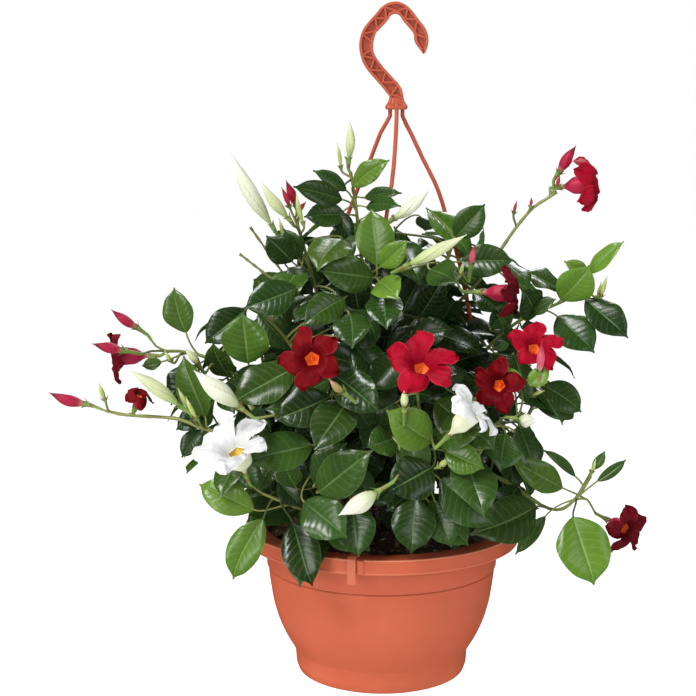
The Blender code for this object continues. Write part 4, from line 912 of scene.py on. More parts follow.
class Graph:
    """A material's nodes, with short ways to add them."""

    def __init__(self, name, **settings):
        self.material = bpy.data.materials.new(name)
        self.material.use_nodes = True
        self.tree = self.material.node_tree
        self.shader = self.tree.nodes["Principled BSDF"]
        for key, value in settings.items():
            self.shader.inputs[key.replace("_", " ")].default_value = value

    def put(self, socket, value):
        if isinstance(value, bpy.types.NodeSocket):
            self.tree.links.new(value, socket)
        elif value is not None:
            socket.default_value = (*value, 1.0) if socket.type == "RGBA" and len(value) == 3 else value

    def add(self, kind, inputs=(), **settings):
        node = self.tree.nodes.new(kind)
        for key, value in settings.items():
            setattr(node, key, value)
        for key, value in dict(inputs).items():
            self.put(node.inputs[key], value)
        return node

    def sum(self, operation, a, b=None, c=None):
        node = self.add("ShaderNodeMath", operation=operation)
        for socket, value in zip(node.inputs, (a, b, c)):
            self.put(socket, value)
        return node.outputs[0]

    def mix(self, share, a, b):
        node = self.add("ShaderNodeMix", data_type="RGBA")
        for socket, value in zip((node.inputs[0], node.inputs[6], node.inputs[7]), (share, a, b)):
            self.put(socket, value)
        return node.outputs[2]

    def span(self, value, low, high, to_low=0.0, to_high=1.0):
        node = self.add("ShaderNodeMapRange", interpolation_type="SMOOTHSTEP")
        for socket, number in zip(node.inputs, (value, low, high, to_low, to_high)):
            self.put(socket, number)
        return node.outputs[0]

    def noise(self, scale, detail=3.0, vector=None):
        node = self.add("ShaderNodeTexNoise", {"Scale": scale, "Detail": detail})
        self.put(node.inputs["Vector"], vector or self.places())
        return node.outputs["Fac"]

    def places(self):
        return self.add("ShaderNodeTexCoord").outputs["Object"]

    def stirred(self, value, noise, reach):
        """The value moved to and fro by a noise."""
        return self.sum("ADD", value, self.sum("MULTIPLY_ADD", noise, reach, -reach / 2))

    def from_middle(self, across):
        """0 on the middle line of a blade or petal and 1 at its margins."""
        return self.sum("ABSOLUTE", self.sum("MULTIPLY_ADD", across, 2.0, -1.0))

    def along_across(self):
        node = self.add("ShaderNodeSeparateXYZ", {"Vector": self.add("ShaderNodeUVMap").outputs["UV"]})
        return node.outputs["X"], node.outputs["Y"]

    def tones(self):
        node = self.add("ShaderNodeAttribute", attribute_name="tone")
        parts = self.add("ShaderNodeSeparateColor", {"Color": node.outputs["Color"]})
        return parts.outputs

    def finish(self, colour=None, roughness=None, height=None, strength=0.3, distance=0.001):
        self.put(self.shader.inputs["Base Color"], colour)
        self.put(self.shader.inputs["Roughness"], roughness)
        if height is not None:
            bump = self.add("ShaderNodeBump", {"Height": height, "Strength": strength, "Distance": distance})
            self.put(self.shader.inputs["Normal"], bump.outputs["Normal"])
        return self.material


def vein_lines(graph, along, aside):
    """0 on the blade and 1 on its side veins, which lean towards the tip."""
    lean = graph.sum("MULTIPLY", graph.sum("POWER", aside, VEIN_BOW), VEIN_LEAN)
    phase = graph.sum("MULTIPLY", graph.sum("SUBTRACT", along, lean), VEINS)
    share = graph.sum("FRACT", graph.sum("ADD", phase, 0.5))
    return graph.span(graph.sum("ABSOLUTE", graph.sum("SUBTRACT", share, 0.5)), 0.03, 0.16, 1.0, 0.0)


def leaf_material(name, upper):
    """Leaf green by age, and by a third tone that is random and also holds painted shade deep in the crown,
    with a paler midrib, side veins and margin.
    """
    graph = Graph(name, Specular_IOR_Level=0.40 if upper else 0.2, Coat_Weight=0.30 if upper else 0.0,
                  Coat_Roughness=0.22)
    along, across = graph.along_across()
    aside = graph.from_middle(across)
    young, hue, shade = graph.tones()[:3]
    # shade darkens the old green: a random tone, with painted shade for leaves deep in the crown
    if upper:
        old = graph.mix(shade, (0.004, 0.014, 0.003), (0.026, 0.069, 0.011))
        fresh = graph.mix(hue, (0.085, 0.20, 0.012), (0.16, 0.29, 0.026))
    else:
        old = graph.mix(shade, (0.014, 0.040, 0.012), (0.06, 0.125, 0.045))
        fresh = graph.mix(hue, (0.12, 0.25, 0.04), (0.17, 0.30, 0.07))
    base = graph.mix(graph.span(young, 0.0, 1.0), old, fresh)
    patch = graph.span(graph.noise(38.0), 0.35, 0.7, 0.0, 0.35)
    base = graph.mix(patch, base, graph.mix(0.5, base, (0.045, 0.08, 0.012)))
    lines = vein_lines(graph, along, aside)
    rib = graph.span(aside, graph.sum("MULTIPLY_ADD", along, -0.022, 0.028), 0.065, 1.0, 0.0)
    margin = graph.span(aside, 0.965, 0.995, 0.0, 0.5)
    pale = graph.mix(young, (0.085, 0.17, 0.055), (0.26, 0.42, 0.12))
    colour = graph.mix(graph.sum("MULTIPLY", lines, 0.16), base, pale)
    colour = graph.mix(graph.sum("MULTIPLY", rib, 0.7), colour, pale)
    colour = graph.mix(margin, colour, pale)
    rough = graph.span(graph.noise(90.0), 0.3, 0.7, 0.20 if upper else 0.5, 0.38 if upper else 0.68)
    cells = graph.add("ShaderNodeTexVoronoi", {"Scale": 420.0, "Vector": graph.places()},
                      feature="DISTANCE_TO_EDGE").outputs["Distance"]
    height = graph.sum("SUBTRACT", graph.sum("MULTIPLY", cells, 0.6), graph.sum("MULTIPLY", lines, 0.5))
    return graph.finish(colour, rough, height, 0.25 if upper else 0.35, 0.0006)


def stem_material():
    """Green and smooth when young, brown and rough where it is woody, and a darker green by the third tone:
    painted shade on main stems and leaf stalks, a random tone on twigs.
    """
    graph = Graph("stem_skin", Specular_IOR_Level=0.4)
    woody, hue, shade = graph.tones()[:3]
    spots = graph.noise(420.0, 4.0)
    green = graph.mix(hue, (0.14, 0.18, 0.034), (0.25, 0.26, 0.080))
    # Painted shade on main stems and leaf stalks, a random tone on twigs, darkens the green
    green = graph.mix(graph.span(shade, 0.0, 0.6, 1.0, 0.0), green, (0.045, 0.065, 0.016))
    brown = graph.mix(graph.span(spots, 0.35, 0.65), (0.075, 0.045, 0.024), (0.19, 0.13, 0.075))
    edge = graph.stirred(woody, spots, 0.3)
    colour = graph.mix(graph.span(edge, 0.35, 0.75), green, brown)
    rough = graph.span(edge, 0.3, 0.8, 0.42, 0.8)
    return graph.finish(colour, rough, spots, 0.4, 0.0008)


def calyx_material():
    """Small green cups, flushed with red towards their points."""
    graph = Graph("calyx_green", Specular_IOR_Level=0.4)
    along, across = graph.along_across()
    hue, shade = graph.tones()[1:3]
    green = graph.mix(hue, (0.10, 0.22, 0.03), (0.24, 0.34, 0.09))
    colour = graph.mix(graph.span(along, 0.3, 1.0, 0.0, shade), green, (0.23, 0.055, 0.03))
    return graph.finish(colour, 0.45, graph.noise(500.0), 0.2, 0.0005)


def paler(colour, gain, lift, most):
    """The colour made brighter, with none of its parts above the most."""
    return tuple(min(most, gain * part + lift) for part in colour)


def petal_material(name, main, deep, throat, reach):
    """Velvet with fine streaks that run outwards, darker or paler in parts, painted shade towards the throat,
    and a coloured throat.
    """
    graph = Graph(name, Specular_IOR_Level=0.08)
    along, across = graph.along_across()
    hue, shade = graph.tones()[1:3]
    drawn = graph.add("ShaderNodeCombineXYZ", {"X": graph.sum("MULTIPLY", along, 1.6),
                                               "Y": graph.sum("MULTIPLY", across, 26.0), "Z": hue})
    streaks = graph.noise(2.2, 4.0, drawn.outputs["Vector"])
    clouds = graph.noise(55.0)
    colour = graph.mix(graph.span(streaks, 0.36, 0.66), deep, main)
    colour = graph.mix(graph.span(clouds, 0.35, 0.7, 0.0, 0.55), colour, deep)
    # Painted shade: the petal darker towards the throat
    colour = graph.mix(graph.span(along, 0.08, 0.55, 0.65, 0.0), colour, deep)
    margin = graph.span(graph.from_middle(across), 0.90, 1.0, 0.0, 0.35)
    colour = graph.mix(margin, colour, paler(main, 1.5, 0.03, 0.85))
    if reach:
        edge = graph.stirred(along, streaks, 0.16)
        colour = graph.mix(graph.span(edge, reach * 0.45, reach, 1.0, 0.0), colour, throat)
    return graph.finish(colour, graph.span(streaks, 0.3, 0.7, 0.45, 0.62), streaks, 0.3, 0.0006)


def graded_material(name, foot, middle, point, low=0.25, high=0.8):
    """A flower tube or bud, from its foot to its point, with fine lengthwise lines and painted shade where a
    bud's petals lap.
    """
    graph = Graph(name, Sheen_Weight=0.05, Specular_IOR_Level=0.22)
    along, across = graph.along_across()
    hue = graph.tones()[1]
    drawn = graph.add("ShaderNodeCombineXYZ", {"X": along, "Y": graph.sum("MULTIPLY", across, 14.0),
                                               "Z": hue})
    lines = graph.noise(2.6, 3.0, drawn.outputs["Vector"])
    edge = graph.stirred(along, lines, 0.24)
    colour = graph.mix(graph.span(edge, 0.02, low), foot, middle)
    colour = graph.mix(graph.span(edge, high * 0.7, high), colour, point)
    colour = graph.mix(graph.span(lines, 0.5, 0.75, 0.0, 0.3), colour, paler(middle, 1.4, 0.05, 0.8))
    # Painted shade along the step where each furled petal laps under the next
    lap = graph.span(across, 0.0, 0.16, 0.55, 0.0)
    colour = graph.mix(lap, colour, tuple(0.45 * part for part in middle))
    return graph.finish(colour, graph.span(lines, 0.3, 0.7, 0.38, 0.52), lines, 0.25, 0.0005)


def plastic_material(name, light, dark, rough):
    """Injection-moulded plastic: a hardly uneven colour, faint dust, fine grain in its gloss, and highlights
    and shade painted by its first tone.
    """
    graph = Graph(name, Specular_IOR_Level=0.32, Subsurface_Weight=0.06, Subsurface_Scale=0.01)
    graph.shader.inputs["Subsurface Radius"].default_value = (1.0, 0.35, 0.2)
    clouds = graph.noise(14.0, 5.0)
    grain = graph.noise(900.0, 2.0)
    dust = graph.noise(60.0, 6.0)
    colour = graph.mix(graph.span(clouds, 0.35, 0.68), light, dark)
    colour = graph.mix(graph.span(dust, 0.60, 0.85, 0.0, 0.05), colour, (0.62, 0.46, 0.34))
    # The first tone paints light and shade: above a half, a painted highlight, below it, painted shade
    edge = graph.tones()[0]
    colour = graph.mix(graph.span(edge, 0.5, 1.0), colour, (0.80, 0.36, 0.20))
    colour = graph.mix(graph.span(edge, 0.0, 0.5, 0.75, 0.0), colour, (0.16, 0.030, 0.016))
    smooth = graph.span(dust, 0.3, 0.75, rough - 0.03, rough + 0.06)
    height = graph.sum("ADD", graph.sum("MULTIPLY", grain, 0.25), graph.sum("MULTIPLY", clouds, 0.6))
    return graph.finish(colour, smooth, height, 0.12, 0.0012)


def mix_material():
    """Potting mix: each bit has its own brown in its tone, a few are pale flecks."""
    graph = Graph("potting_mix", Specular_IOR_Level=0.25)
    kind, hue, shade = graph.tones()[:3]
    fibres = graph.noise(700.0, 5.0)
    dark = graph.mix(hue, (0.048, 0.030, 0.019), (0.125, 0.075, 0.045))
    bark = graph.mix(hue, (0.130, 0.074, 0.040), (0.29, 0.180, 0.100))
    colour = graph.mix(graph.span(kind, 0.2, 0.5), dark, bark)
    colour = graph.mix(graph.span(kind, 0.75, 0.9), colour, (0.62, 0.58, 0.50))
    colour = graph.mix(graph.span(fibres, 0.35, 0.7, 0.0, 0.6), colour, (0.018, 0.012, 0.008))
    return graph.finish(colour, graph.span(fibres, 0.3, 0.7, 0.7, 0.95), fibres, 0.7, 0.001)


def new_thing(name, data):
    """A new object in the scene."""
    thing = bpy.data.objects.new(name, data)
    bpy.context.scene.collection.objects.link(thing)
    return thing


def mesh_of(name, bm):
    """A mesh of what a bmesh holds, which is then let go."""
    mesh = bpy.data.meshes.new(name)
    bm.to_mesh(mesh)
    bm.free()
    return mesh


class Piece:
    """A mesh in the making. Its materials read a place along and across it, and a tone."""

    def __init__(self):
        self.points, self.triangles, self.slots, self.places, self.tones = [], [], [], [], []
        self.size = 0

    def add(self, points, triangles, slots, places, tone):
        points = np.asarray(points, float).reshape(-1, 3)
        self.points.append(points)
        self.triangles.append(triangles + self.size)
        self.slots.append(np.broadcast_to(slots, len(triangles)))
        self.places.append(np.broadcast_to(places, (len(points), 2)))
        self.tones.append(np.broadcast_to((*tone, 1.0), (len(points), 4)))
        self.size += len(points)

    def add_rings(self, rings, along=None, across=None, slots=0, tone=(0.5, 0.5, 0.5)):
        """Closed rings of points joined into a skin whose two ends are filled.

        along has a value for each ring, across for each column, and slots a material for each column.
        """
        rings = np.asarray(rings)
        rows, columns = rings.shape[:2]
        along = np.linspace(0.0, 1.0, rows) if along is None else along
        across = around(columns) if across is None else across
        start = np.arange(rows - 1)[:, None] * columns
        low = start + np.arange(columns)
        after = start + (np.arange(columns) + 1) % columns
        skin = np.stack([low, after, after + columns, low, after + columns, low + columns], -1)
        kinds = np.broadcast_to(np.asarray(slots).reshape(1, -1, 1), low.shape + (2,)).reshape(-1)
        fan = np.arange(1, columns - 1)
        top = (rows - 1) * columns
        foot = np.stack([0 * fan, fan + 1, fan], -1)
        head = np.stack([0 * fan + top, fan + top, fan + top + 1], -1)
        across = across if np.ndim(across) == 2 else np.reshape(across, (1, -1))
        places = np.stack(np.broadcast_arrays(np.reshape(along, (-1, 1)), across), -1)
        kinds = np.concatenate([kinds, np.full(2 * len(fan), kinds[0])])
        faces = np.concatenate([skin.reshape(-1, 3), foot, head])
        self.add(rings, faces, kinds, places.reshape(-1, 2), tone)

    def add_sheet(self, grid, along, across, thickness, slots, tone):
        """A thin blade: its upper face, then its lower face back, with shared margins."""
        normal = np.cross(np.gradient(grid, axis=1), np.gradient(grid, axis=0))
        normal /= np.maximum(np.linalg.norm(normal, axis=2, keepdims=True), 1e-12)
        lower = (grid - normal * thickness)[:, -2:0:-1]
        columns = grid.shape[1]
        kinds = [slots[0]] * (columns - 1) + [slots[1]] * (columns - 1)
        across = np.concatenate([across, across[-2:0:-1]])
        self.add_rings(np.concatenate([grid, lower], axis=1), along, across, kinds, tone)

    def add_tube(self, route, radii, sides, slots=0, tone=(0.5, 0.5, 0.5)):
        self.add_rings(tube_rings(route, radii, sides), slots=slots, tone=tone)

    def finish(self, name, materials, slot, *nodes):
        mesh = bpy.data.meshes.new(name)
        points = np.concatenate(self.points) + np.array(ORIGIN)
        triangles = np.concatenate(self.triangles)
        mesh.vertices.add(len(points))
        mesh.vertices.foreach_set("co", points.ravel())
        mesh.loops.add(triangles.size)
        mesh.loops.foreach_set("vertex_index", triangles.ravel())
        mesh.polygons.add(len(triangles))
        mesh.polygons.foreach_set("loop_start", np.arange(0, triangles.size, 3))
        mesh.polygons.foreach_set("material_index", np.concatenate(self.slots).astype(np.int32))
        uv = mesh.uv_layers.new(name="UVMap")
        uv.data.foreach_set("uv", np.concatenate(self.places)[triangles.ravel()].ravel())
        tone = mesh.attributes.new("tone", "FLOAT_COLOR", "POINT")
        tone.data.foreach_set("color", np.concatenate(self.tones).ravel())
        mesh.update(calc_edges=True)
        mesh.validate()
        mesh.shade_smooth()
        mesh.set_sharp_from_angle(angle=SHARP_ANGLE)
        for material in materials:
            mesh.materials.append(material)
        thing = new_thing(name, mesh)
        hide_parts(*nodes)
        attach(thing, "root")
        return thing


def circle(sides):
    """Angles evenly round a circle."""
    return np.linspace(0.0, math.tau, sides, endpoint=False)


def around(columns):
    """A value that goes from 0 to 1 and back round a ring, so that it has no seam."""
    return 1.0 - np.abs(2.0 * np.arange(columns) / columns - 1.0)


def tube_rings(route, radii, sides):
    """Rings of points round a route, without a twist between them."""
    turn = circle(sides)[:, None]
    rings = []
    for (place, along, side), radius in zip(frames_along(route, 0.98), radii):
        face = side.cross(along)
        way = np.cos(turn) * np.array(side) - np.sin(turn) * np.array(face)
        rings.append(np.array(place) + radius * way)
    return np.array(rings)


def turned_rings(profile, sides, foot=(0.0, 0.0, 0.0), axes=((0, 0, 1), (-1, 0, 0), (0, 1, 0))):
    """Rings from a profile of radius and height points, turned about the first of three axes."""
    along, side, face = (np.array(axis, float) for axis in axes)
    turn = circle(sides)[:, None]
    way = np.cos(turn) * side - np.sin(turn) * face
    return np.array([np.array(foot) + along * height + way * max(radius, LEAST_RADIUS)
                     for radius, height in profile])


def rounded(outline, reach, closed=True):
    """An outline with each corner cut to a small arc of three points."""
    points = [np.array(point, float) for point in outline]
    soft = []
    for index, here in enumerate(points):
        if not closed and index in (0, len(points) - 1):
            soft.append(here)
            continue
        before, after = points[index - 1], points[(index + 1) % len(points)]
        ends = []
        for other in (before, after):
            length = np.linalg.norm(other - here)
            ends.append(here + (other - here) * min(reach, 0.4 * length) / max(length, 1e-9))
        soft += [ends[0], 0.25 * ends[0] + 0.5 * here + 0.25 * ends[1], ends[1]]
    return np.array(soft)


def hermite(a, b, way_a, way_b, count):
    """A soft curve from a to b that leaves by one direction and arrives by another."""
    reach = (b - a).length
    p, q = a + way_a * reach * 0.33, b - way_b * reach * 0.33
    steps = [index / (count - 1) for index in range(count)]
    return [a * (1 - t) ** 3 + p * 3 * t * (1 - t) ** 2 + q * 3 * t * t * (1 - t) + b * t ** 3 for t in steps]


def bell(value, width):
    """1 at zero, and down to nothing within about two widths of it."""
    return np.exp(-(value / width) ** 2)


def smoothstep(value, low, high):
    share = np.clip((value - low) / (high - low), 0.0, 1.0)
    return share * share * (3 - 2 * share)


def blade_half(s):
    """The blade's half width as a share of the greatest: an ellipse with a short drawn-out tip."""
    plain = np.maximum(0.0, np.sin(np.pi * s ** 0.9)) ** 0.8
    return np.maximum(0.012, plain - 0.11 * smoothstep(s, 0.80, 0.94) * (1 - smoothstep(s, 0.955, 1.0)))


def blade_grid(leaf, shape, luck):
    """The upper face of a leaf, quilted between its side veins, as rows from stalk to tip."""
    s = np.linspace(0.0, 1.0, shape[0])[:, None]
    even = np.linspace(-1.0, 1.0, shape[1])[None, :]
    v = np.sign(even) * np.abs(even) ** 1.4
    aside = np.abs(v)
    base, tip, normal = (np.array(leaf[key]) for key in ("base", "tip", "normal"))
    length = np.linalg.norm(tip - base)
    side = np.cross(tip - base, normal)
    side /= np.linalg.norm(side)
    bend = (base + tip) / 2 + normal * LEAF_ARCH * length + side * luck.uniform(-0.07, 0.07) * length
    middle = base * (1 - s) ** 2 + bend * 2 * s * (1 - s) + tip * s ** 2
    along = (bend - base) * (1 - s) + (tip - bend) * s
    along /= np.linalg.norm(along, axis=1, keepdims=True)
    face = np.cross(side, along)
    half = np.maximum(leaf["half"] * blade_half(s), 0.0009)
    veins = VEINS * (s - VEIN_LEAN * aside ** VEIN_BOW)
    quilt = (0.5 - 0.5 * np.cos(math.tau * veins)) ** 0.7 * np.sin(np.pi * np.minimum(aside, 1.0)) ** 0.6
    quilt *= luck.uniform(0.002, 0.007) * length * np.sin(np.pi * s) ** 0.5
    lift = half * LEAF_FOLD * (1.35 * aside - 0.45 * aside ** 2)
    waves = np.sin(math.tau * (luck.uniform(1.2, 2.2) * s + luck.uniform(0.0, 1.0) + 0.37 * (v > 0)))
    lift += half * luck.uniform(0.04, 0.13) * waves * aside ** 2.4 - half * 0.13 * aside ** 6
    lift += half * v * luck.uniform(-0.22, 0.22) * (s - 0.35)
    lift += quilt - luck.uniform(0.02, 0.07) * length * smoothstep(s, 0.8, 1.0)
    lift -= 0.0004 * bell(v, 0.06) * np.sin(np.pi * s)
    grid = middle[:, None, :] + side * (half * v)[:, :, None] + face[:, None, :] * lift[:, :, None]
    return grid, s[:, 0], (v[0] + 1) / 2


def add_leaf(piece, routes, leaf, shape, luck):
    """A blade and its stalk, which leaves the fine stem where it passes nearest."""
    root, growth = nearest_on(routes, leaf["root"])
    grid, along, across = blade_grid(leaf, shape, luck)
    # The third tone is a random tone times the leaf's painted shade, and the stalk takes it too
    tone = (leaf["tone"], luck.uniform(0.0, 1.0), luck.uniform(0.0, 1.0) * leaf["shade"])
    rib = bell(across * 2 - 1, 0.10)
    keel = BLADE_THICK + 0.0007 * rib[None, :, None] * (1.05 - along)[:, None, None]
    piece.add_sheet(grid, along, across, keel, (0, 1), tone)
    start = Vector(leaf["tip"] - leaf["base"]).normalized()
    leave = ((leaf["base"] - root).normalized() + growth * 0.5).normalized()
    base = Vector(grid[0].mean(axis=0)) + start * 0.001
    stalk = hermite(root, base, leave, start, len(STALK_RADII))
    piece.add_tube(stalk, STALK_RADII, STALK_SIDES, 2, (0.0, tone[1], tone[2]))


def add_sepals(piece, base, along, length, radius_at, luck):
    """Five narrow green points that clasp a flower's foot."""
    facing, across, up = (np.array(axis) for axis in bloom_axes(along))
    s = np.linspace(0.0, 1.0, SEPAL_GRID[0])[:, None]
    t = np.linspace(-1.0, 1.0, SEPAL_GRID[1])[None, :]
    tone = (0.0, luck.uniform(0.0, 1.0), luck.uniform(0.2, 0.9))
    for index in range(PETALS):
        width = 0.0019 * np.maximum(0.03, np.sin(np.pi * (0.30 + 0.69 * s)) ** 0.8)
        radius = radius_at(s * length) + 0.0005 + 0.0014 * s ** 2 * luck.uniform(0.2, 1.4)
        angle = math.tau * (index + 0.12 * luck.uniform(-1, 1)) / PETALS + t * width / radius
        spot = (np.cos(angle)[..., None] * across + np.sin(angle)[..., None] * up) * radius[..., None]
        grid = np.array(base) + spot + facing * (s * length - 0.0012)[..., None]
        piece.add_sheet(grid, s[:, 0], (t[0] + 1) / 2, 0.0003, (3, 3), tone)


def bud_radius(share, radius):
    """A bud's half thickness at a share of its length, fullest below its middle."""
    return np.maximum(0.0004, radius * np.maximum(0.0, np.sin(np.pi * share ** 0.9)) ** 1.2)


def bloom_radius(reach, tube, mouth):
    """The tube's outside: narrow below, then a bell that opens to the mouth."""
    share = np.clip(reach / tube, 0.0, 1.0)
    flare = smoothstep(share, 0.16, 0.56)
    return 0.0017 + 0.0010 * share + (mouth - 0.0027) * flare * (0.90 + 0.12 * smoothstep(share, 0.5, 1.0))


def build_bloom(name, data, looks, luck):
    """A flower: its tube outside and in, the cone in its throat, and its petals."""
    _, colour, throat, _, limb = data
    facing, turn, lift, slim = POSED[name]
    axes = bloom_axes(Vector(facing).normalized())
    roll = Matrix.Rotation(math.radians(turn), 3, -axes[0])
    axes = [np.array(roll @ axis) for axis in axes]
    throat, limb = np.array(mm(*throat)), limb * 0.001
    tube, mouth = bloom_tube_length(limb), limb * MOUTH
    piece = Piece()
    steps = np.linspace(0.0, 1.0, TUBE_STEPS)
    outer = [(bloom_radius(step * tube, tube, mouth), (step - 1) * tube - 0.15 * limb * step)
             for step in steps]
    inner = [(mouth * reach, limb * height) for reach, height in INNER_TUBE]
    rings = turned_rings(outer + inner, BLOOM_SIDES, throat, axes)
    flutes = 1 + 0.05 * np.cos(PETALS * circle(BLOOM_SIDES))
    middle = throat + axes[0] * np.array([height for radius, height in outer + inner])[:, None]
    rings = middle[:, None, :] + (rings - middle[:, None, :]) * flutes[None, :, None]
    along = np.concatenate([steps, np.linspace(0.0, 1.0, len(inner))])
    across = 0.2 + 0.7 * around(BLOOM_SIDES)
    piece.add_rings(rings, along, across, 1, (0.0, luck.uniform(0.0, 1.0), 0.5))
    paint_throat(piece, len(outer), BLOOM_SIDES)
    cone = [(radius, height * limb) for radius, height in CONE]
    rings = turned_rings(cone, CONE_SIDES, throat, axes)
    piece.add_rings(rings, np.linspace(0, 0.3, len(cone)), slots=2, tone=(0.0, 0.9, 0.5))
    for index in range(PETALS):
        grid, s, t = petal_grid(throat, axes, limb, index, luck, slim, lift)
        tone = (0.0, luck.uniform(0.0, 1.0), luck.uniform(0.0, 1.0))
        piece.add_sheet(grid, s, t, PETAL_THICK, (0, 3), tone)
    piece.finish(name.replace("bloom", "flower"), looks["bloom", colour], "petal_" + colour, name)


def paint_throat(piece, outside, columns):
    """Give the inner side of the tube, which comes after its outside, the throat's material."""
    kinds = piece.slots[-1].copy()
    kinds[(outside - 1) * columns * 2:] = 2
    piece.slots[-1] = kinds


def petal_grid(throat, axes, limb, index, luck, slim, lift):
    """One of five lobes that twist out of the funnel, each with its point off to one side."""
    facing, across, up = axes
    s = np.linspace(0.0, 1.0, PETAL_GRID[0])[:, None]
    t = np.linspace(-1.0, 1.0, PETAL_GRID[1])[None, :]
    length = limb * luck.uniform(0.84, 0.93)
    inside, rim = limb * (luck.uniform(0.175, 0.215) + 0.05 * t ** 2), 0.325 * limb
    radius = inside + (rim - inside) * smoothstep(s, 0.0, 0.17)
    radius = radius + (length - rim) * np.maximum(0.0, (s - 0.10) / 0.9)
    blunt, pointed = np.interp(s, PETAL_STOPS, BLUNT), np.interp(s, PETAL_STOPS, POINTED)
    taper = luck.uniform(0.15, 0.95)
    spread = (blunt * (1 - taper) + pointed * taper) * (1 - slim * smoothstep(s, 0.1, 0.6))
    spread = spread * (1 + luck.uniform(-0.08, 0.10) * smoothstep(s, 0.15, 0.5))
    radius = np.minimum(radius * (1 + (0.04 + 0.10 * (1 - taper)) * t * s ** 3), limb)
    lean = limb * luck.uniform(0.14, 0.28) * s ** 2.2
    angle = math.tau * index / PETALS + lean / radius + t * np.radians(spread) * (1 + 0.20 * s * t)
    bend = lift + luck.uniform(-0.14, 0.12)
    height = -0.27 + 0.22 * smoothstep(s, 0.0, 0.18) + 0.05 * smoothstep(s, 0.15, 0.4)
    height = height + bend * smoothstep(s, 0.25, 1.0)
    height = height + 0.08 * t * smoothstep(s, 0.08, 0.4) * (1 - 0.5 * s)
    rolls = np.where(t > 0, luck.uniform(-0.06, 0.14), luck.uniform(0.02, 0.18))
    height -= rolls * smoothstep(s, 0.25, 0.85) * np.abs(t) ** 2.6
    phase = luck.uniform(0.0, math.tau)
    height += 0.07 * np.sin(2.6 * t + phase) * s ** 1.5 + 0.045 * np.sin(6.3 * t + 5.0 * s + phase) * s ** 2
    height += 0.05 * bell(t, 0.22) * smoothstep(s, 0.08, 0.3) * (1 - s) - 0.10 * smoothstep(s, 0.86, 1.0)
    way = np.cos(angle)[..., None] * across + np.sin(angle)[..., None] * up
    grid = throat + way * radius[..., None] + facing * (limb * height)[..., None]
    return grid, s[:, 0], (t[0] + 1) / 2


def shown_tip(name, tip):
    """A bud's tip as it is shown."""
    return mm(*tip) + mm(*LEANING.get(name, (0, 0, 0)))


def build_bud(name, data, looks, luck):
    """A furled bud: five ridges wind round a spindle."""
    _, colour, base, tip, radius = data
    long, wide = SHOWN_BUDS.get(name, (0.995, 1.0))
    piece = Piece()
    base, tip = mm(*base), shown_tip(name, tip)
    add_bud(piece, base, base.lerp(tip, long), radius * 0.001 * wide, 0, luck, BUD_GRID)
    piece.finish(name.replace("bud", "furled"), looks["bud", colour], "petal_" + colour, name)


def add_bud(piece, base, tip, radius, slot, luck, shape):
    """A spindle of five petals, each of which laps over the next in a slow twist."""
    along = tip - base
    facing, across, up = (np.array(axis) for axis in bloom_axes(along))
    s = np.linspace(0.0, 1.0, shape[0])[:, None]
    turn = circle(shape[1])[None, :]
    lap = (PETALS * turn / math.tau + 1.3 * s + luck.uniform(0, 1)) % 1.0
    ridge = 1 + 0.13 * (lap ** 1.5 - 0.75) * np.sin(np.pi * s) ** 0.4
    size = np.maximum(bud_radius(s, radius), 0.0016 * (1 - s) ** 3) * ridge
    sway = up * (np.sin(np.pi * s) * luck.uniform(-0.05, 0.05) * along.length)[..., None]
    way = np.cos(turn)[..., None] * across - np.sin(turn)[..., None] * up
    rings = np.array(base) + facing * (s * along.length)[..., None] + way * size[..., None] + sway
    piece.add_rings(rings, s[:, 0], lap, slot, (0.0, luck.uniform(0.0, 1.0), 0.5))


def stem_radii(count, first, last):
    """A stem that thins towards its tip, a little swollen at every fourth step."""
    return [(first + (last - first) * index / (count - 1)) * (1.16 if index % 4 == 2 else 1.0)
            for index in range(count)]


def flower_ends(name, shown):
    """Where the flowers of a stem stand: foot, direction, and the outside of the foot by its reach."""
    for key, (owner, _, throat, facing, limb) in BLOOMS.items():
        if owner == name:
            way = Vector(POSED[key][0] if shown else facing).normalized()
            tube, mouth = bloom_tube_length(limb * 0.001), limb * 0.001 * MOUTH
            yield (mm(*throat) - way * (tube + GAP), way,
                   lambda reach, tube=tube, mouth=mouth: bloom_radius(reach, tube, mouth))
    for key, (owner, _, base, tip, radius) in BUDS.items():
        if owner == name:
            base, tip = mm(*base), shown_tip(key, tip) if shown else mm(*tip)
            way = tip - base
            yield (base - way.normalized() * GAP, way.normalized(),
                   lambda reach, length=way.length, radius=radius: np.maximum(
                       0.0016, bud_radius(reach / length, radius * 0.001) * 1.08))


def flower_twigs(name, main, shown, step=TWIG_STEP):
    """The side twig of each flower of a stem, with where it ends and the flower's outside there."""
    for end, along, radius_at in flower_ends(name, shown):
        root, growth = nearest_on([main], end - along * 0.02)
        yield twig_route(root, growth, end, along, step), end, along, radius_at


def plan_stem(name, space):
    """The solid's own routes, as the part's source makes them, so that leaves find the same room."""
    main = stem_route(STEMS[name])
    space.add_rod(name, "stem", main, STEM_RADIUS + GAP)
    twigs = [twig for twig, _, _, _ in flower_twigs(name, main, False)]
    for twig in twigs:
        space.add_rod(name, "stem", twig, TWIG_RADIUS + GAP)
    return [main] + twigs


def stalk_start(base, tip):
    """The place behind a blade from which its stalk looks for the nearest stem."""
    return base - (tip - base).normalized() * STALK_REACH


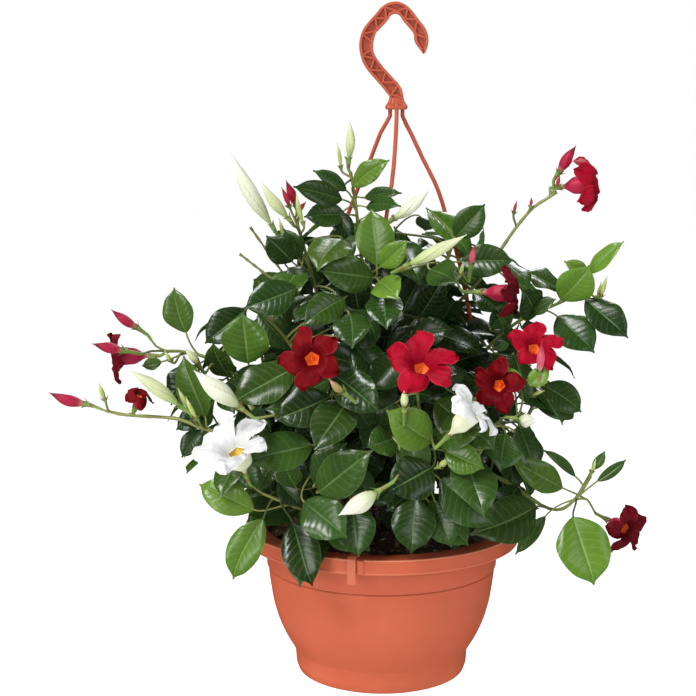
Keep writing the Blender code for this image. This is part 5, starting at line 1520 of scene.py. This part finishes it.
def plan_leaves():
    """Every leaf where the part's source puts it, then more of them where there is still room."""
    space = Space()
    for name, route in STRANDS.items():
        space.add_rod(name, "strand", strand_path(route), STRAND_RADIUS + GAP)
    stems = {name: plan_stem(name, space) for name in STEMS}
    for name, (_, _, throat, facing, limb) in BLOOMS.items():
        space.add(name, "bloom", *bloom_mesh(mm(*throat), facing, limb * 0.001))
    for name, (_, _, base, tip, radius) in BUDS.items():
        space.add(name, "bud", *bud_mesh(mm(*base), mm(*tip), radius * 0.001))
    rng = random.Random(SEED)
    placed = {name: [] for name in STEMS}
    for name, leaves in LEAVES.items():
        for base, tip, width, youth in leaves:
            base, tip = mm(*base), mm(*tip)
            root = nearest_on(stems[name], stalk_start(base, tip))[0]
            leaf = make_leaf(nudged(root, rng), base, tip, width * 0.001)
            keep_leaf(space, placed, name, leaf, youth / 10)
    for name, routes in stems.items():
        for leaf in fill_pairs(routes[0], rng):
            keep_leaf(space, placed, name, leaf)
    for name, leaf in cover_leaves(stems, rng):
        keep_leaf(space, placed, name, leaf)
    add_extras(space, placed, stems)
    for (name, index), (base, tip) in SETTLED.items():
        leaf, base, tip = placed[name][index], mm(*base), mm(*tip)
        root = nearest_on(stems[name], stalk_start(base, tip))[0]
        leaf.update(make_leaf(root, base, tip, leaf["half"] * 2))
    for (name, index), (width, youth) in RESHAPED.items():
        placed[name][index].update(half=width * 0.0005, tone=youth / 10)
    for owner, leaves in ADDED.items():
        for base, tip, width, youth in leaves:
            base, tip = mm(*base), mm(*tip)
            start = stalk_start(base, tip)
            name = owner or nearest_stem(stems, start)[0]
            leaf = make_leaf(nearest_on(stems[name], start)[0], base, tip, width * 0.001)
            placed[name].append(dict(leaf, tone=youth / 10, near=True))
    for leaf in (leaf for leaves in placed.values() for leaf in leaves if leaf["near"]):
        leaf["normal"] = shown_normal(leaf)
    return placed


def shown_normal(leaf):
    """A leaf that shows in the photo turns its face more towards the photographer."""
    middle = (leaf["base"] + leaf["tip"]) / 2
    along = (leaf["tip"] - leaf["base"]).normalized()
    eye = (Vector(CAMERA) - ORIGIN - middle).normalized()
    normal = leaf["normal"] * 0.45 + eye * 0.75
    normal -= along * normal.dot(along)
    return normal.normalized() if normal.length > 0.25 else leaf["normal"]


def keep_leaf(space, placed, name, leaf, tone=None):
    """Keep a leaf if there is room for it. One whose tone is given shows in the photo."""
    near = tone is not None
    found = place_leaf(space, name, leaf, near)
    if found is not None:
        space.add(name, "leaf", *leaf_mesh(found))
        placed[name].append(dict(found, tone=tone, near=near))


def hides_flower(base, tip, flowers):
    """Whether a leaf stands between the photographer and a flower or bud."""
    eye = Vector(CAMERA) - ORIGIN
    for place, reach in flowers:
        sight = (place - eye).normalized()
        for share in (0.0, 0.5, 1.0):
            way = base.lerp(tip, share) - eye
            depth = way.dot(sight)
            if depth < (place - eye).length + 0.01 and (way - sight * depth).length < reach + 0.012:
                return True
    return False


def add_extras(space, placed, stems):
    """Smaller leaves in what room is left inside the crown."""
    rng = random.Random(EXTRA_SEED)
    flowers = [(mm(*throat), limb * 0.001) for _, _, throat, _, limb in BLOOMS.values()]
    flowers += [((mm(*base) + mm(*tip)) / 2, 0.012) for _, _, base, tip, _ in BUDS.values()]
    for way in golden_ways(EXTRA_COUNT, EXTRA_TOP, EXTRA_SPAN, 1.0):
        base = crown_place(way, rng.uniform(0.10, 0.84))
        length = rng.uniform(0.036, 0.060)
        aside = Vector((-way.y, way.x, 0.0)) * rng.uniform(-1.0, 1.0)
        heading = (way * 0.6 + aside + Vector((0.0, 0.0, rng.uniform(-0.7, 0.3)))).normalized()
        name, root = nearest_stem(stems, base)
        tip = base + heading * length
        if ((root - base).length > STALK_LIMIT or hides_flower(base, tip, flowers)
                or crown_depth(tip) > EXTRA_REACH):
            continue
        leaf = make_leaf(nudged(root, rng), base, tip, length * rng.uniform(0.58, 0.70))
        keep_leaf(space, placed, name, leaf)


def build_stem(name, leaves, looks, luck):
    """One stem with its twigs, flower cups, leaf stalks and leaves, as one piece."""
    piece = Piece()
    main = stem_route(STEMS[name], FINE_STEP)
    woody = smoothstep(np.linspace(1.0, 0.0, len(main)), 0.25, 0.9) * 0.9
    piece.add_tube(main, stem_radii(len(main), STEM_RADIUS, STEM_TIP_RADIUS), STEM_SIDES, 2)
    # The third tone is painted shade: the main stem's green darker towards its foot
    tone_rows(piece, STEM_SIDES, woody, luck.uniform(0, 1), 0.55 - 0.45 * woody)
    routes = [main]
    for twig, end, along, radius_at in flower_twigs(name, main, True, FINE_STEP):
        tone = (0.2, luck.uniform(0, 1), luck.uniform(0.1, 0.9))
        neck = min(4, len(twig) - 1)
        piece.add_tube(twig[:1 - neck], [TWIG_RADIUS] * (len(twig) + 1 - neck), TWIG_SIDES, 2, tone)
        piece.add_tube(twig[-neck:], np.linspace(0.0013, 0.0021, neck), STEM_SIDES, 3, tone)
        add_sepals(piece, end, along, SEPAL_LENGTH, radius_at, luck)
        routes.append(twig)
    add_sprigs(piece, name, main, luck)
    for leaf in leaves:
        depth = crown_depth((leaf["base"] + leaf["tip"]) / 2)
        # Painted shade: leaves deep in the crown are drawn a darker green, the shown leaves are not
        leaf["shade"] = 1.0 if leaf["near"] else 0.15 + 0.85 * smoothstep(depth, 0.35, 0.90)
        if leaf["tone"] is None:
            high = smoothstep(leaf["base"].z, 0.30, 0.50) * 0.35 + smoothstep(depth, 0.65, 1.0) * 0.30
            leaf["tone"] = min(1.0, luck.uniform(0.0, 0.12) + high * luck.uniform(0.1, 1.0))
        add_leaf(piece, routes, leaf, NEAR_GRID if leaf["near"] else FAR_GRID, luck)
    piece.finish(name.replace("stem", "foliage"), looks["stem"], "foliage", name)


def add_sprigs(piece, name, main, luck):
    """Small unopened buds on short twigs, and old flower twigs that have lost theirs."""
    for kind, base, tip, radius in SPRIGS.get(name, ()):
        base, tip = mm(*base), mm(*tip)
        way = (tip - base).normalized()
        root, growth = nearest_on([main], base - way * 0.01)
        leave = (growth * 0.5 + (base - root).normalized()).normalized()
        twig = hermite(root, base, leave, way, TWIG_STEPS)
        piece.add_tube(twig, [TWIG_RADIUS] * TWIG_STEPS, TWIG_SIDES, 2, (0.2, luck.uniform(0, 1), 0.5))
        if kind == "twig":
            old = hermite(base, tip, way, way, len(OLD_TWIG_RADII))
            piece.add_tube(old, OLD_TWIG_RADII, TWIG_SIDES, 2, (0.5, luck.uniform(0, 1), 0.5))
        else:
            add_bud(piece, base, tip, radius * 0.001, SPRIG_SLOTS[kind], luck, SPRIG_GRID)
            length = (tip - base).length
            add_sepals(piece, base, way, min(0.006, 0.35 * length),
                       lambda reach: bud_radius(reach / length, radius * 0.00108), luck)


def shown_profile():
    """The pot's section from under its base up the outside, over the rim and down the inside."""
    foot = rounded([(0.0, 0.0)] + WALL_OUTSIDE[:4], 1.2, closed=False)
    upper = SHOWN_STEP + SHOWN_RIM[::-1] + inner_wall()[::-1] + [(0.0, WALL * 1000 + 1.0)]
    upper = rounded(upper, 0.45, closed=False)
    return np.concatenate([foot[:-1], soft_line(SHOWN_BULGE, 6), upper]) * 0.001


def build_pot(looks):
    """The pot, with painted highlights on its rim's edges, painted shade in the groove at the step, a pad
    beside each clip and drain holes.
    """
    soft = shown_profile()
    piece = Piece()
    piece.add_rings(turned_rings(soft, POT_SIDES))
    radius, height = soft.T
    # Painted highlights along the rim's top edge and the band's lower edge, and painted shade in the groove
    # at the step
    rim = bell(height - TOP_EDGE, EDGE_WIDTH) * 0.32 + bell(height - BAND_EDGE, EDGE_WIDTH) * 0.16
    groove = bell(height - GROOVE, GROOVE_WIDTH) * 0.32 * (radius > 0.1118)
    tone_rows(piece, POT_SIDES, 0.5 + rim * (radius > 0.1345) - groove)
    for route in STRANDS.values():
        add_pad(piece, math.atan2(route[-1][1], route[-1][0]) + PAD_TURN)
    pot = piece.finish("grower_pot", looks["plastic"], "pot_plastic", "pot")
    for index in range(DRAINS):
        angle = math.tau * (index + 0.5) / DRAINS
        spot = Vector((DRAIN_CIRCLE * math.cos(angle), DRAIN_CIRCLE * math.sin(angle), 0.005)) + ORIGIN
        bm = bmesh.new()
        bmesh.ops.create_cone(bm, cap_ends=True, segments=28, radius1=DRAIN_RADIUS, radius2=DRAIN_RADIUS,
                              depth=0.03)
        bmesh.ops.translate(bm, verts=bm.verts, vec=spot)
        punch(pot, mesh_of("drain_cutter", bm))
    pot.data.set_sharp_from_angle(angle=SHARP_ANGLE)


def tone_rows(piece, columns, first, second=0.5, third=0.5):
    """Give each ring of the last skin its own tone, or each point if there is one column."""
    parts = [np.repeat(np.broadcast_to(part, len(first)), columns) for part in (first, second, third, 1.0)]
    piece.tones[-1] = np.stack(parts, -1)


def bar_ring(turn, width, outer, inner):
    """A rounded section of a bar on the rim, from an outer to an inner radius and height."""
    sides = ((outer, width / 2), (outer, -width / 2), (inner, -width / 2), (inner, width / 2))
    corners = [(radius, side, height) for (radius, height), side in sides]
    return rounded([tuple(turn @ Vector(corner)) for corner in corners], 0.0005)


def add_pad(piece, angle):
    """The raised pad on the rim's band beside a clip."""
    turn = Matrix.Rotation(angle, 3, "Z")
    piece.add_rings([bar_ring(turn, PAD_WIDTH, (out, height), (0.1340, height)) for out, height in PAD])


def punch(thing, cutter):
    """Cut a mesh out of a thing, and leave neither tool nor modifier behind."""
    tool = new_thing("punch", cutter)
    modifier = thing.modifiers.new("punch", "BOOLEAN")
    modifier.operation = "DIFFERENCE"
    modifier.object = tool
    modifier.solver = "EXACT"
    bpy.context.view_layer.update()
    graph = bpy.context.evaluated_depsgraph_get()
    mesh = bpy.data.meshes.new_from_object(thing.evaluated_get(graph))
    thing.modifiers.clear()
    thing.data = mesh
    bpy.data.objects.remove(tool, do_unlink=True)


def soil_height(x, y):
    """The height of the mix: a low dome, roughened."""
    reach = min(1.0, math.hypot(x, y) / 0.113)
    level = SOIL_CROWN + (SOIL_EDGE - SOIL_CROWN) * reach ** 2
    rough = noise.fractal(Vector((x, y, 0.3)) * 90, 0.6, 2.1, 4)
    return level + 0.0016 * rough


def build_soil(looks):
    """The soil: a rough surface with crumbs and larger chips on it."""
    wall = soil_wall()
    edge = wall[-1][0] + 0.0006
    rings = list(turned_rings(wall, SOIL_SIDES))
    for step in np.linspace(1.0, 0.0, SOIL_RINGS):
        ring = turned_rings([(edge * step, 0.0)], SOIL_SIDES)[0]
        ring[:, 2] = [soil_height(x, y) for x, y, z in ring]
        rings.append(ring)
    piece = Piece()
    piece.add_rings(rings, tone=(0.1, 0.4, 0.5))
    luck = np.random.default_rng(CRUMB_SEED)
    crumb, chunk = (crumb_shape(detail) for detail in (1, 2))
    for index in range(CRUMBS):
        reach, angle = SOIL_REACH * math.sqrt(luck.uniform(0, 1)), luck.uniform(0, math.tau)
        spot = reach * math.cos(angle), reach * math.sin(angle)
        chip = index < CHIPS
        size = luck.uniform(0.0022, 0.0052) if chip else luck.uniform(0.0006, 0.0018)
        add_crumb(piece, chunk if chip else crumb, spot, size, chip, luck)
    piece.finish("soil_surface", [looks["mix"]], "potting_mix", "soil")


def crumb_shape(detail):
    """A ball's points and triangles."""
    bm = bmesh.new()
    bmesh.ops.create_icosphere(bm, subdivisions=detail, radius=1.0)
    points = np.array([tuple(vert.co) for vert in bm.verts])
    triangles = np.array([[vert.index for vert in face.verts] for face in bm.faces])
    bm.free()
    return points, triangles


def add_crumb(piece, shape, spot, size, chip, luck):
    """A crumb of the mix, or a flatter chip of bark, turned at random."""
    points, triangles = shape
    stretch = (1.0, luck.uniform(0.35, 0.8), luck.uniform(0.18, 0.4)) if chip else (1.0, 0.8, 0.7)
    points = points * np.array(stretch) * size * luck.uniform(0.75, 1.15, (len(points), 1))
    turn = np.array(Matrix.Rotation(luck.uniform(0, math.tau), 3, "Z")
                    @ Matrix.Rotation(luck.uniform(-0.5, 0.5), 3, "X"))
    points = points @ turn.T + np.array([*spot, soil_height(*spot) + size * (0.12 if chip else 0.3)])
    pale = luck.uniform(0, 1) > (0.93 if chip else 0.96)
    kind = 1.0 if pale else (luck.uniform(0.3, 0.7) if chip else luck.uniform(0.0, 0.5))
    piece.add(points, triangles, 0, (0.5, 0.5), (kind, luck.uniform(0, 1), luck.uniform(0, 1)))


def hook_section(a, b):
    """The hook's section between its two edges: a raised border on each side of a thin web."""
    border = min(HOOK_BORDER, (b - a).length * 0.42)
    across = (b - a).normalized() * border
    section = [(a, HOOK_DEPTH), (a + across, HOOK_DEPTH), (a + across, HOOK_WEB), (b - across, HOOK_WEB),
               (b - across, HOOK_DEPTH), (b, HOOK_DEPTH)]
    section += [(spot, -depth) for spot, depth in section[::-1]]
    return rounded([(spot.x, -depth / 2, spot.y) for spot, depth in section], HOOK_CORNER)


def soft_line(points, parts):
    """A soft curve through points, with the same number of parts between each two of them."""
    points = np.array(points, float)
    points = np.concatenate([[2 * points[0] - points[1]], points, [2 * points[-1] - points[-2]]])
    t = np.arange(parts)[:, None] / parts
    lines = [spline(*four, t) for four in zip(points, points[1:], points[2:], points[3:])]
    return np.concatenate(lines + [points[-2:-1]])


def build_hook(looks):
    """The hook with its ribs, painted shade on its web and a faint painted highlight on its borders, and its
    round head with a dent in front and behind, painted darker as shade.
    """
    piece = Piece()
    edges = ([Vector(spot) * 0.001 for spot in soft_line(edge, 7)] for edge in (HOOK_OUTER, HOOK_INNER))
    rings = np.array([hook_section(a, b) for a, b in zip(*edges)])
    rings[..., 2] -= 0.0010 * smoothstep(rings[..., 2], 0.6500, 0.660)
    piece.add_rings(rings)
    # Painted shade on the web, deep between the borders, and a faint painted highlight on the borders' faces
    depth = np.abs(rings[:, :, 1]).ravel()
    tone_rows(piece, 1, np.interp(depth, (0.0012, 0.0030, 0.0040), (0.30, 0.5, 0.56)))
    for a, b in HOOK_RIBS:
        add_rib(piece, Vector(a) * 0.001, Vector(b) * 0.001)
    turn = circle(HEAD_SIDES)
    head, dents = [], []
    for height, wide, deep in soft_line(HOOK_HEAD, 4):
        x = np.sign(np.cos(turn)) * np.abs(np.cos(turn)) ** 0.55 * wide
        y = -np.sign(np.sin(turn)) * np.abs(np.sin(turn)) ** 0.7 * deep
        dent = smoothstep(height, 2.6, 3.6) * (1 - smoothstep(np.abs(x) / wide, 0.62, 0.72))
        head.append(np.stack([HEAD_CENTRE + x * 0.001, (y - np.sign(y) * 1.5 * dent) * 0.001,
                              np.full(HEAD_SIDES, HEAD_BOTTOM + height * 0.001)], -1))
        dents.append(dent)
    piece.add_rings(head)
    # Painted shade in the head's dents
    tone_rows(piece, 1, 0.54 - 0.18 * np.array(dents).ravel())
    piece.finish("hook_moulding", looks["hanger"], "hanger_plastic", "hanger_hook")


def add_rib(piece, a, b):
    """A stiffening rib between the hook's two borders."""
    way = (b - a).normalized()
    side = Vector((-way.y, way.x)) * RIB_WIDTH / 2
    rings = []
    for spot in (a - way * 0.0010, b + way * 0.0010):
        corners = [(spot + side, RIB_DEPTH), (spot - side, RIB_DEPTH), (spot - side, -RIB_DEPTH),
                   (spot + side, -RIB_DEPTH)]
        rings.append(rounded([(place.x, depth / 2, place.y) for place, depth in corners], 0.0005))
    piece.add_rings(rings)


def clip_rings(angle):
    """The strap over the rim, as rounded sections along its way."""
    top, out = POT_HEIGHT + GAP, RIM_RADIUS + GAP
    thick = CLIP_THICK
    pairs = [((0.1118, 0.1445), (0.1138, 0.1445)), ((0.1118, top + thick), (0.1152, top)),
             ((0.1340, top + thick), (0.1336, top)), ((out + thick, top + 0.0004), (out, top - 0.0006)),
             ((out + thick, 0.1450), (out, 0.1445)), ((0.1383, 0.1384), (0.1363, 0.1380)),
             ((0.1380, 0.1340), (0.1360, 0.1342)), ((0.1374, 0.1297), (0.1354, 0.1300)),
             ((0.1368, 0.1268), (0.1350, 0.1268))]
    outer, inner = (rounded(line, 0.0012, closed=False) for line in zip(*pairs))
    turn = Matrix.Rotation(angle, 3, "Z")
    return np.array([bar_ring(turn, SHOWN_CLIP, *pair) for pair in zip(outer, inner)])


def build_strand(name, route, looks):
    """A strand with its clip, whose strap has a faint painted highlight."""
    path = strand_path(route, STRAND_STEP)
    piece = Piece()
    piece.add_tube(path, [STRAND_RADIUS] * len(path), STRAND_SIDES)
    rings = clip_rings(math.atan2(path[-1].y, path[-1].x))
    # The strap's tone gives it a faint painted highlight
    piece.add_rings(rings[:, ::-1], tone=(0.63, 0.5, 0.5))
    piece.finish(name.replace("strand", "strand_rod"), looks["hanger"], "hanger_plastic", name)


def make_looks():
    """All materials, by what they are for."""
    upper, under = leaf_material("leaf_upper", True), leaf_material("leaf_under", False)
    stem, calyx = stem_material(), calyx_material()
    lime = graded_material("bud_lime", (0.16, 0.26, 0.05), (0.34, 0.42, 0.12), (0.50, 0.54, 0.26))
    small_red = graded_material("bud_small_red", (0.20, 0.16, 0.05), (0.40, 0.02, 0.04), (0.30, 0.008, 0.02))
    looks = {
        "stem": [upper, under, stem, calyx, lime, small_red], "mix": mix_material(),
        "plastic": [plastic_material("terracotta_plastic", (0.515, 0.104, 0.0465), (0.475, 0.092, 0.039),
                                     0.38)],
        "hanger": [plastic_material("hanger_plastic", (0.45, 0.088, 0.044), (0.39, 0.072, 0.035), 0.34)],
    }
    blooms = {
        "red": ((0.46, 0.002, 0.026), (0.24, 0.001, 0.010), (0.95, 0.20, 0.03), (0.46, 0.014, 0.055)),
        "deep": ((0.22, 0.001, 0.005), (0.10, 0.0008, 0.003), (1.0, 0.20, 0.02), (0.30, 0.008, 0.030)),
        "dark": ((0.17, 0.0015, 0.009), (0.07, 0.001, 0.004), (0.70, 0.12, 0.02), (0.36, 0.010, 0.045)),
        "white": ((0.79, 0.79, 0.80), (0.60, 0.61, 0.61), (0.84, 0.60, 0.10), (0.60, 0.62, 0.42)),
    }
    for key, (main, deep, throat, tube) in blooms.items():
        outside = tuple(0.7 * a + 0.3 * b for a, b in zip(main, tube))
        # The throat turns redder and darker at its bottom; the darkening is painted shade
        dim = tuple(a * b for a, b in zip(throat, (0.75, 0.35, 0.3)))
        looks["bloom", key] = [
            petal_material("petal_" + key, main, deep, throat, 0.0),
            graded_material("tube_" + key, (0.46, 0.48, 0.20), tube, outside, 0.34, 0.95),
            graded_material("throat_" + key, throat, throat, dim, 0.5, 1.1),
            petal_material("petal_back_" + key, outside, deep, tube, 0.25)]
    buds = {
        "red": ((0.56, 0.46, 0.28), (0.33, 0.006, 0.036), (0.13, 0.003, 0.018), 0.28),
        "white": ((0.36, 0.46, 0.18), (0.62, 0.645, 0.50), (0.66, 0.67, 0.60), 0.5),
        "cream": ((0.27, 0.38, 0.10), (0.50, 0.55, 0.30), (0.58, 0.60, 0.43), 0.5),
        "pink": ((0.68, 0.46, 0.38), (0.54, 0.085, 0.13), (0.32, 0.012, 0.034), 0.35),
        "withered": ((0.20, 0.24, 0.06), (0.30, 0.22, 0.08), (0.55, 0.25, 0.20), 0.5),
    }
    for key, (foot, middle, point, low) in buds.items():
        looks["bud", key] = [graded_material("bud_" + key, foot, middle, point, low, 0.9)]
    return looks


def add_light(name, place, size, power, colour):
    """A round lamp that faces the middle of the plant."""
    light = bpy.data.lights.new(name, "AREA")
    light.shape = "DISK"
    light.size = size
    light.energy = power
    light.color = colour
    thing = new_thing(name, light)
    thing.location = place
    thing.rotation_euler = (Vector(LAMP_TARGET) - Vector(place)).to_track_quat("-Z", "Y").to_euler()


def build_studio():
    """A pale floor well under the hanging pot, a sky that fades upwards, a soft sun and three lamps."""
    bm = bmesh.new()
    bmesh.ops.create_circle(bm, cap_ends=True, segments=96, radius=FLOOR_RADIUS)
    mesh = mesh_of("studio_floor", bm)
    floor = new_thing("studio_floor", mesh)
    floor.location = (0.0, 0.0, FLOOR_HEIGHT)
    graph = Graph("floor_paint", Roughness=0.9, Specular_IOR_Level=0.1)
    shade = graph.mix(graph.noise(3.0), (0.975, 0.975, 0.975), (0.985, 0.985, 0.985))
    mesh.materials.append(graph.finish(shade))
    floor.visible_glossy = False
    floor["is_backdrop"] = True
    world = bpy.data.worlds.new("studio_air")
    world.use_nodes = True
    tree = world.node_tree
    back = tree.nodes["Background"]
    back.inputs["Color"].default_value = (1.0, 1.0, 1.0, 1.0)
    place, apart, fade = (tree.nodes.new(kind) for kind in (
        "ShaderNodeTexCoord", "ShaderNodeSeparateXYZ", "ShaderNodeMapRange"))
    for name, value in zip(("From Min", "From Max", "To Min", "To Max"), SKY_FADE):
        fade.inputs[name].default_value = value
    tree.links.new(place.outputs["Generated"], apart.inputs["Vector"])
    tree.links.new(apart.outputs["Z"], fade.inputs["Value"])
    tree.links.new(fade.outputs["Result"], back.inputs["Strength"])
    bpy.context.scene.world = world
    world.cycles_visibility.glossy = False
    sun = bpy.data.lights.new("studio_sun", "SUN")
    sun.energy = SUN_POWER
    sun.angle = math.radians(SUN_ANGLE)
    new_thing("studio_sun", sun).rotation_euler = Vector(SUN_WAY).to_track_quat("-Z", "Y").to_euler()
    for lamp in LAMPS:
        add_light(*lamp)


def add_camera():
    """The photographer's view."""
    camera = new_thing("photo_view", bpy.data.cameras.new("photo_view"))
    camera.location = CAMERA
    camera.rotation_euler = (math.radians(CAMERA_TILT), 0.0, 0.0)
    camera.data.sensor_width = CAMERA_SENSOR
    camera.data.lens = CAMERA_LENS
    bpy.context.scene.camera = camera


def main():
    """Build every piece. The stems, flowers and buds share one row of random draws."""
    add_camera()
    build_studio()
    bpy.context.scene.view_settings.view_transform = "Standard"
    looks = make_looks()
    luck = np.random.default_rng(LUCK_SEED)
    placed = plan_leaves()
    build_pot(looks)
    build_soil(looks)
    build_hook(looks)
    for name, route in STRANDS.items():
        build_strand(name, route, looks)
    for name, leaves in placed.items():
        build_stem(name, leaves, looks, luck)
    for name, data in BLOOMS.items():
        build_bloom(name, data, looks, luck)
    for name, data in BUDS.items():
        build_bud(name, data, looks, luck)


def plain(box):
    return [[float(value) for value in corner] for corner in box]


main()
{"cad": plain(CAD_BOX), "visual": plain(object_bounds())}
